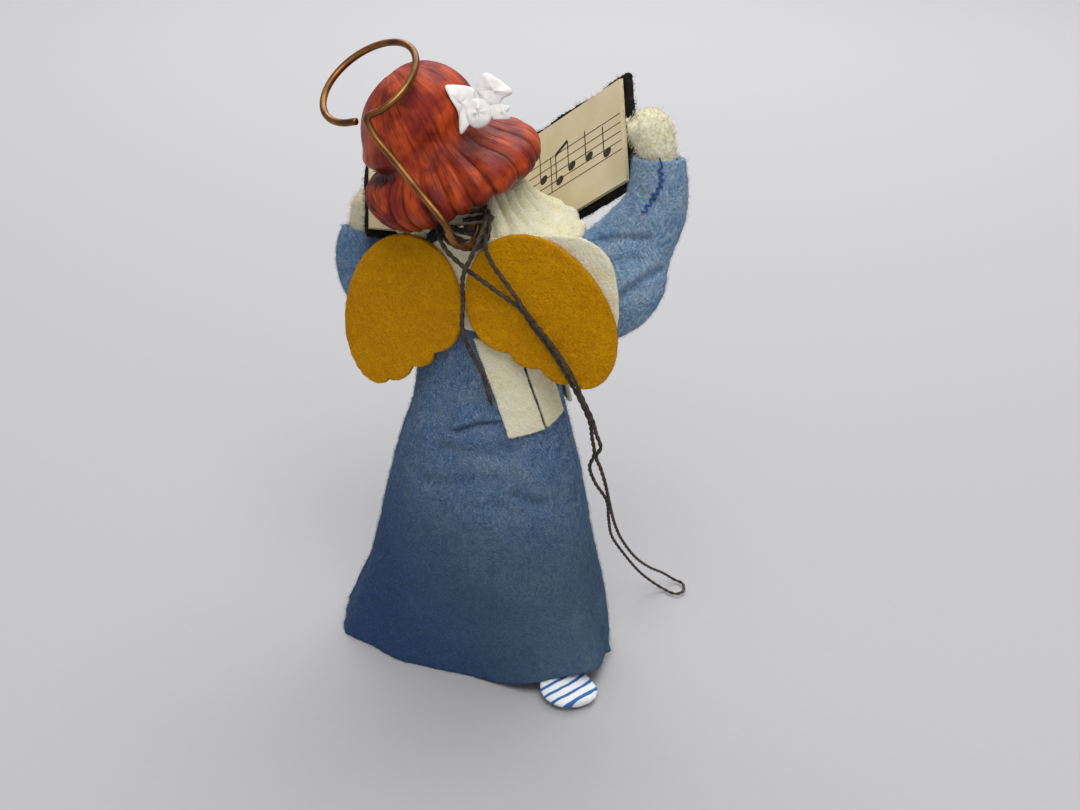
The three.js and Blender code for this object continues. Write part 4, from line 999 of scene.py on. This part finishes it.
push(hair, normalsOf(hair), depth * shown)
washAndShade = locked * np.clip((hairWashAndShade["level"] - locks) * hairWashAndShade["locks"], 0, 1)
washAndShade += rolled * np.clip((hairWashAndShade["level"] - rope) * hairWashAndShade["rope"], 0, 1)
# painted shade: dark patches over the lower hair, along the step under the crown, in the hollow by the bow
# and under the roll
lowShade = np.clip(waves(points, hairWashAndShade["lowShadeSize"], 9) + hairWashAndShade["lowShadeFrom"], 0, 1)
washAndShade += hairWashAndShade["lowShade"] * low * lowShade
washAndShade += hairWashAndShade["crownShare"] * bell(height, *hairWashAndShade["underCrown"]) * step + hairWashAndShade["hollow"] * hollow
washAndShade += hairWashAndShade["rollShare"] * ramp(-height, *hairWashAndShade["underRoll"])
# stored per point: the wash and the painted shade
washAndShadeData = hair.data.attributes.new("washAndShade", "FLOAT", "POINT")
washAndShadeData.data.foreach_set("value", np.clip(washAndShade, 0, hairWashAndShade["most"]).astype(np.float32))
across = (1 - rolled) * (around + wander) * strandForm["across"] + rolled * slanted
aslant = (height - around * slant["across"]) * strandForm["slope"]
along = (1 - rolled) * height + rolled * aslant
strand = np.stack([across / strandForm["width"], along / strandForm["length"], np.zeros(len(along))], 1)
strandData = hair.data.attributes.new("strand", "FLOAT_VECTOR", "POINT")
strandData.data.foreach_set("vector", strand.astype(np.float32).ravel())
hairTree = treeOf(hair)
print("hair made with", len(points), "points")

# Face: satin painted resin with a soft blush, and painted lines. A line has its first angle round the head,
# the step from point to point, and its height, which bulges at the middle
blushLook = {"tone": "#e39a86", "cheek": (5.6, -9, -3.6), "reach": (3.2, 0.6), "share": 0.6}
faceLines = {
    "eyelid": {"start": 12, "step": 4.4, "height": 0.4, "bulge": -0.9, "radius": 0.24},
    "brow": {"start": 11, "step": 4.8, "height": 2.9, "bulge": 0.6, "radius": 0.2},
    "mouth": {"start": -9, "step": 4.5, "height": -5, "bulge": -0.7, "radius": 0.3},
}
nose = {"heights": (-0.6, -1.6, -2.6), "ends": 0.15, "middle": 0.75, "sides": 16}


def faceMaterial():
    material, tree, place = newMaterial("painted_face")
    colour = "#edcdb2"
    far, near = (reach * mm for reach in blushLook["reach"])
    for side in (-1, 1):
        x, y, z = blushLook["cheek"]
        cheek = headFrame @ Vector((side * x, y, z))
        away = addNode(tree, "VectorMath", {0: place, 1: cheek}, "Value", operation="DISTANCE")
        inputs = {"Value": away, "From Min": far, "From Max": near, "To Max": blushLook["share"]}
        blush = addNode(tree, "MapRange", inputs)
        colour = addNode(tree, "Mix", {0: blush, 6: colour, 7: blushLook["tone"]}, **colourMix)
    finishMaterial(tree, colour, 0.5, 0.4)
    return material


def onFace(degrees, height):
    reach = sqrt(headTilt["radius"] ** 2 - (height + headTilt["drop"]) ** 2)
    angle = radians(degrees)
    return headFrame @ Vector((reach * sin(angle), -reach * cos(angle), height))


def paintedLine(name, look, side, material):
    points = []
    for k in range(5):
        rise = look["height"] + look["bulge"] * sin(pi * k / 4)
        points.append(onFace(side * (look["start"] + look["step"] * k), rise))
    line = smoothLine(points, 0.2 * mm)
    total = lineLength(line)
    radius = look["radius"] * mm
    shape = tubeMesh(line, lambda s, angle: radius * (0.35 + 0.65 * sin(pi * s / total)), 10)
    meshPiece(name, *shape, material, "face_resin")


headLook = {"voxel": 0.4, "levels": 2, "ease": 4, "edge": 60}
face = softCopy("head", "cast_head", headLook, faceMaterial())
inkBrown = grainedMaterial("painted_line", {"tones": ("#452719", "#5a3828"), "grain": 0.6, "roughness": 0.5})
lipRed = grainedMaterial("painted_lips", {"tones": ("#ab4d45", "#bd6358"), "grain": 0.6, "roughness": 0.5})
for side, name in ((-1, "right"), (1, "left")):
    paintedLine(name + "_eyelid", faceLines["eyelid"], side, inkBrown)
    paintedLine(name + "_brow", faceLines["brow"], side, inkBrown)
paintedLine("mouth", faceLines["mouth"], 1, lipRed)
noseLine = smoothLine([onFace(0, height) for height in nose["heights"]], 0.1 * mm)
noseLength = lineLength(noseLine)


def noseReach(distance, angle):
    return mm * (nose["ends"] + nose["middle"] * sin(pi * distance / noseLength))


meshPiece("nose", *tubeMesh(noseLine, noseReach, nose["sides"]), face.data.materials[0], "face_resin")
print("head made")

# Bow: white painted resin, three crumpled petals and a lumpy knot, lying on the hair.
# Its outlines are given in millimetres to the right of the seat and above it
bowLook = {"tones": ("#f1efec", "#e6e0dd"), "grain": 2.2, "roughness": 0.5, "bump": 0.3}
bow = {
    "seat": (4.4, 9, 140.2),
    "right": (-0.933, -0.358, 0.038),
    "up": (0.178, -0.367, 0.913),
    "out": (-0.3125, 0.8585, 0.4067),
    "petals": [
        {
            "root": (0.6, -1.2),
            "rim": [(0.9, 2.5), (-1.9, 3.4), (-5.3, 3.1), (-4.2, 0.1), (-2.7, -2.4), (-2, -7.4), (0.4, -4.6)],
            "puff": 1.2, "folds": 2.5,
        },
        {
            "root": (3.4, -0.6),
            "rim": [(1.4, 2.6), (3.2, 6.1), (5.5, 5.3), (9.4, 1.8), (7.5, 0.6), (6, -1.4)],
            "puff": 1.3, "folds": 2.5,
        },
        {
            "root": (3.6, -1.8),
            "rim": [(5, -0.8), (8.9, -1.4), (8.2, -2.6), (9, -3.9), (5.2, -4.2)],
            "puff": 0.8, "folds": 1.5,
        },
    ],
    "knot": {"middle": (1.9, -2.7), "half": (3.1, 3.4), "corners": 24, "puff": 1.8, "folds": 3.5},
    "gap": 0.3, "spacing": 0.45, "above": 0.03,
}
crumple = {
    "rings": 9, "thick": 0.6, "turn": 0.15, "flat": 0.45, "folded": 0.55,
    "crinkle": 0.35, "crinkleScale": 0.55,
}
bowRight, bowUp, bowOut = (Vector(bow[k]).normalized() for k in ("right", "up", "out"))


# A place on the bow: its point over the hair or over the bow's own level, then this far out
def onBow(x, y, out):
    level = atDoll(*bow["seat"]) + (bowRight * x + bowUp * y) * mm
    hit = hairTree.ray_cast(level + bowOut * bow["above"], -bowOut)[0]
    if hit and (hit - level).dot(bowOut) > 0:
        level = level + bowOut * (hit - level).dot(bowOut)
    return level + bowOut * (out + bow["gap"]) * mm


# A closed cushion from its root to its rim, with folds that run out from the root
def crumpled(root, rim, puff, folds):
    turns = len(rim)
    rings = crumple["rings"]
    front = []
    back = []
    for r in range(1, rings + 1):
        share = r / rings
        for k in range(turns):
            x = root[0] + (rim[k][0] - root[0]) * share
            y = root[1] + (rim[k][1] - root[1]) * share
            fold = abs(((folds * k / turns + crumple["turn"] * sin(3 * share)) * 2) % 2 - 1)
            crinkle = abs(noise.noise(Vector((x, y, 0.5)) * crumple["crinkleScale"]))
            domed = puff * sin(pi * min(1, share * 0.5 + 0.5)) ** 0.5
            swell = domed * (crumple["flat"] + crumple["folded"] * fold)
            front.append(onBow(x, y, crumple["thick"] + swell - crinkle * puff * crumple["crinkle"]))
            back.append(onBow(x, y, 0))
    vertices = [onBow(root[0], root[1], 0.5 + puff * 0.6), onBow(root[0], root[1], 0), *front, *back]
    faces = []
    for side, turn in ((0, 1), (1, -1)):
        base = 2 + side * len(front)
        for k in range(turns):
            j = (k + 1) % turns
            faces.append((side, base + k, base + j)[::turn])
            for r in range(rings - 1):
                a = base + r * turns
                faces.append((a + k, a + turns + k, a + turns + j, a + j)[::turn])
    last = 2 + (rings - 1) * turns
    for k in range(turns):
        j = (k + 1) % turns
        faces.append((last + k, len(front) + last + k, len(front) + last + j, last + j))
    return vertices, faces


def gathered(parts):
    vertices = []
    faces = []
    for more, shape in parts:
        faces += [tuple(k + len(vertices) for k in face) for face in shape]
        vertices += more
    return vertices, faces


bowParts = []
for petal in bow["petals"]:
    corners = [Vector((*petal["root"], 0)), *(Vector((*p, 0)) for p in petal["rim"])]
    outline = smoothLine(corners, bow["spacing"])
    bowParts.append(crumpled(sum(corners, Vector()) / len(corners), outline, petal["puff"], petal["folds"]))
knot = bow["knot"]
knotMiddle = Vector((*knot["middle"], 0))
knotRim = []
for i in range(knot["corners"]):
    angle = 2 * pi * i / knot["corners"]
    out = Vector((knot["half"][0] * cos(angle), knot["half"][1] * sin(angle), 0))
    knotRim.append(knotMiddle + out)
bowParts.append(crumpled(knotMiddle, knotRim, knot["puff"], knot["folds"]))
bowWhite = grainedMaterial("white_painted_resin", bowLook)
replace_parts(meshPiece("painted_bow", *gathered(bowParts), bowWhite, "bow_resin"), "hair_bow")

# Halo: bronzed wire, duller and browner in patches
bronzeLook = {
    "tones": ("#6b452b", "#9a6c3a"), "patch": (5, 0.35, 0.65), "metal": 1.0, "roughness": 0.38, "shine": 0.5,
}
wire = {
    "centre": (26.6, 14.2, 142.9),
    "joint": (23.4, 24.1, 137),
    "normal": (0.3, 0.558, 0.774),
    "foot": (2.7, 25, 116.4),
    "stem": (0.3, 0.6, 0.86),
    "hook": [(0.7, 11.4, 112.6), (-0.7, 16, 111.6), (-0.2, 20.6, 110.8), (1.3, 24, 112.6)],
    "diameter": 1.6, "ring": 12, "gap": 14, "steps": 20, "spacing": 0.5, "sides": 20,
}
joint = Vector(wire["joint"])
foot = Vector(wire["foot"])
toCentre = (Vector(wire["centre"]) - joint).normalized()
ringSide = toCentre.cross(Vector(wire["normal"])).normalized()
ringMiddle = joint + toCentre * wire["ring"]
wirePoints = [*wire["hook"], foot, *(foot.lerp(joint, share) for share in wire["stem"])]
for i in range(wire["steps"] + 1):
    angle = pi - radians(wire["gap"] / 2 + (360 - wire["gap"]) * i / wire["steps"])
    wirePoints.append(ringMiddle + (toCentre * cos(angle) + ringSide * sin(angle)) * wire["ring"])
wireLine = smoothLine(routeAt(wirePoints), wire["spacing"] * mm)
wireShape = tubeMesh(wireLine, lambda s, angle: wire["diameter"] * mm / 2, wire["sides"])
bronze = patchedMaterial("bronzed_wire", bronzeLook)
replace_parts(meshPiece("halo_wire", *wireShape, bronze, "halo_wire"), "halo")
print("bow and halo made")

# Song book: card leaves on a black felt cover, with a staff and a few notes of no tune in particular
# aged cream card: pale, with faint broad stains and a fine speck
cardLook = {
    "tones": ("#d6c8a0", "#e0d4b2"), "patch": (9, 0.3, 0.7), "speck": (0.5, 0.12),
    "roughness": 0.75, "shine": 0.2,
}
creamCard = patchedMaterial("aged_cream_card", cardLook)
printInk = grainedMaterial("printing_ink", {"tones": ("#332a24", "#4a4038"), "grain": 0.5, "roughness": 0.7})
leaves = {
    "count": 3, "bottom": 0.15, "top": 1.05, "gap": 0.05, "inner": 1.4, "stagger": 0.1, "uneven": (0.18, 0.2),
}
# five lines, and quarter notes and a beamed pair listed by how far along the page and how many lines down
music = {
    "lines": 5, "top": 4.4, "spacing": 2.35, "line": 0.22, "rise": 0.03, "sunk": 0.05, "margins": (3.0, 1.0),
    "head": (1.45, 1.05), "headTurn": (0.92, 0.38), "headSides": 20, "beam": 0.9, "bar": 0.3, "barAt": 12.4,
    "stem": 0.34, "stemAt": 0.86, "stemHeight": 7.4,
}
notes = {
    1: [(34, 3), (28, 2), (22, 1), (16, 3)],
    -1: [(33.6, 3.4), (27, 2.6), (20.4, 2.4), (15.6, 3.2), (9.4, 2)],
}
inkLow = leaves["top"] - leaves["gap"] - music["sunk"]
inkHigh = leaves["top"] - leaves["gap"] + music["rise"]


# A point on an open page: along it from the spine, out of its face and up the spine, in millimetres
def onPage(side, along, out, up):
    across = side * (along * cos(opening) - out * sin(opening))
    away = along * sin(opening) + out * cos(opening)
    return atDoll(*(Vector(book["place"]) + bookTurn @ Vector((across, away, up))))


# A closed prism standing on a page: outline points as (along, up), from one height to another
def pagePrism(side, outline, low=inkLow, high=inkHigh):
    count = len(outline)
    vertices = [onPage(side, a, out, u) for out in (low, high) for a, u in outline]
    faces = [tuple(reversed(range(count))), tuple(range(count, 2 * count))]
    faces += [(i, (i + 1) % count, count + (i + 1) % count, count + i) for i in range(count)]
    return vertices, faces


def inkBar(side, start, end, width):
    way = (Vector(end) - Vector(start)).normalized()
    across = Vector((-way.y, way.x)) * width / 2
    corners = zip((start, end, end, start), (-1, -1, 1, 1))
    return pagePrism(side, [(a + s * across.x, u + s * across.y) for (a, u), s in corners])


def noteHead(side, along, up):
    outline = []
    level, slope = music["headTurn"]
    for i in range(music["headSides"]):
        angle = 2 * pi * i / music["headSides"]
        x = music["head"][0] * cos(angle)
        y = music["head"][1] * sin(angle)
        outline.append((along + x * level - y * slope, up + x * slope + y * level))
    return pagePrism(side, outline)


def pageStack(side):
    rng = np.random.default_rng(61 + side)
    thick = (leaves["top"] - leaves["bottom"]) / leaves["count"]
    inner = leaves["inner"]
    stack = []
    for k in range(leaves["count"]):
        low = leaves["bottom"] + thick * k
        edge = book["width"] - leaves["stagger"] * k - rng.uniform(0, leaves["uneven"][0])
        top = book["height"] / 2 - rng.uniform(0, leaves["uneven"][1])
        bottom = -book["height"] / 2 + rng.uniform(0, leaves["uneven"][1])
        outline = [(inner, bottom), (edge, bottom), (edge, top), (inner, top)]
        stack.append(pagePrism(side, outline, low, low + thick - leaves["gap"]))
    return gathered(stack)


def pagePrint(side):
    parts = []
    low = music["top"] - (music["lines"] - 1) * music["spacing"]
    start, end = music["margins"]
    for k in range(music["lines"]):
        up = music["top"] - k * music["spacing"]
        parts.append(inkBar(side, (start, up), (book["width"] - end, up), music["line"]))
    tops = []
    for along, line in notes[side]:
        up = music["top"] - line * music["spacing"]
        parts.append(noteHead(side, along, up))
        stemAlong = along + side * music["head"][0] * music["stemAt"]
        tops.append((stemAlong, up + music["stemHeight"]))
        parts.append(inkBar(side, (stemAlong, up), tops[-1], music["stem"]))
    parts.append(inkBar(side, tops[2], tops[3], music["beam"]))
    parts.append(inkBar(side, (music["barAt"], music["top"]), (music["barAt"], low), music["bar"]))
    return gathered(parts)


for side, name in ((1, "left"), (-1, "right")):
    pages = meshPiece("card_page_" + name, *pageStack(side), creamCard, "page_card", smooth=False)
    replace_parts(pages, "book_page_" + name)
for side, name in ((1, "left"), (-1, "right")):
    meshPiece("printed_notes_" + name, *pagePrint(side), printInk, "page_card", smooth=False)
coverLook = {"voxel": 0.4, "levels": 1, "ease": 2}
coverNapLook = {"seed": 71, "density": 3.0, "length": 1.3, "lift": 0.8, "radius": 0.03}
cover = softCopy("book_cover", "felt_book_cover", coverLook, blackFelt)
roughen(cover, [(7, 0.5), (2, 0.18), (0.7, 0.08)])
nap(cover, coverNapLook, woolFibre("black", 1.0, "#131211", "#262322"), "cover_felt")
print("book made")

# Neck dowel: bare wood
birchLook = {"tones": ("#bd9558", "#d3b27c"), "grain": 0.7, "stretch": (1, 1, 0.08), "roughness": 0.7}
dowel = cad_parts["neck_dowel"]
dowel.data.materials.clear()
dowel.data.materials.append(grainedMaterial("bare_birch", birchLook))

# Floor, a round table top in metres, and light
tableTop = {"middle": (0.2, -0.67), "radius": 1.6, "corners": 96, "below": 0.0001}
paleFloor = {"tones": ("#b2b1b3", "#b3b2b4"), "grain": 2, "roughness": 0.85, "bump": 0}
floorRing = []
for k in range(tableTop["corners"]):
    angle = 2 * pi * k / tableTop["corners"]
    x = tableTop["middle"][0] + tableTop["radius"] * cos(angle)
    floorRing.append((x, tableTop["middle"][1] + tableTop["radius"] * sin(angle), 0))
floorMesh = bpy.data.meshes.new("floor")
floorMesh.from_pydata(floorRing, [], [tuple(range(tableTop["corners"]))])
floorMesh.materials.append(grainedMaterial("pale_floor", paleFloor))
floor = linked("floor", floorMesh)
floor.location.z = min(cadLow.z, 0) - tableTop["below"]
world = bpy.data.worlds.new("studio")
world.use_nodes = True
world.node_tree.nodes["Background"].inputs["Color"].default_value = toLinear("#eef0f2")
world.node_tree.nodes["Background"].inputs["Strength"].default_value = 0.42
bpy.context.scene.world = world
bpy.context.scene.view_settings.view_transform = "Standard"


# Soft boxes, placed and aimed in metres from the foot of the doll
def softbox(name, look):
    lamp = bpy.data.lights.new(name, "AREA")
    lamp.size = look["size"]
    lamp.energy = look["power"]
    light = linked(name, lamp)
    light.location = Vector(look["place"])
    light.rotation_euler = (Vector(look["place"]) - Vector(look["aim"])).to_track_quat("Z", "Y").to_euler()


softbox("key", {"size": 0.6, "power": 5.0, "place": (-0.2, 0.42, 0.9), "aim": (0, 0, 0.07)})
softbox("fill", {"size": 0.8, "power": 0.7, "place": (-0.4, 0.7, 0.4), "aim": (0, 0, 0.07)})
softbox("far", {"size": 1.2, "power": 14.5, "place": (0.25, -0.85, 0.9), "aim": (0.25, -0.8, 0)})
print("stage made")
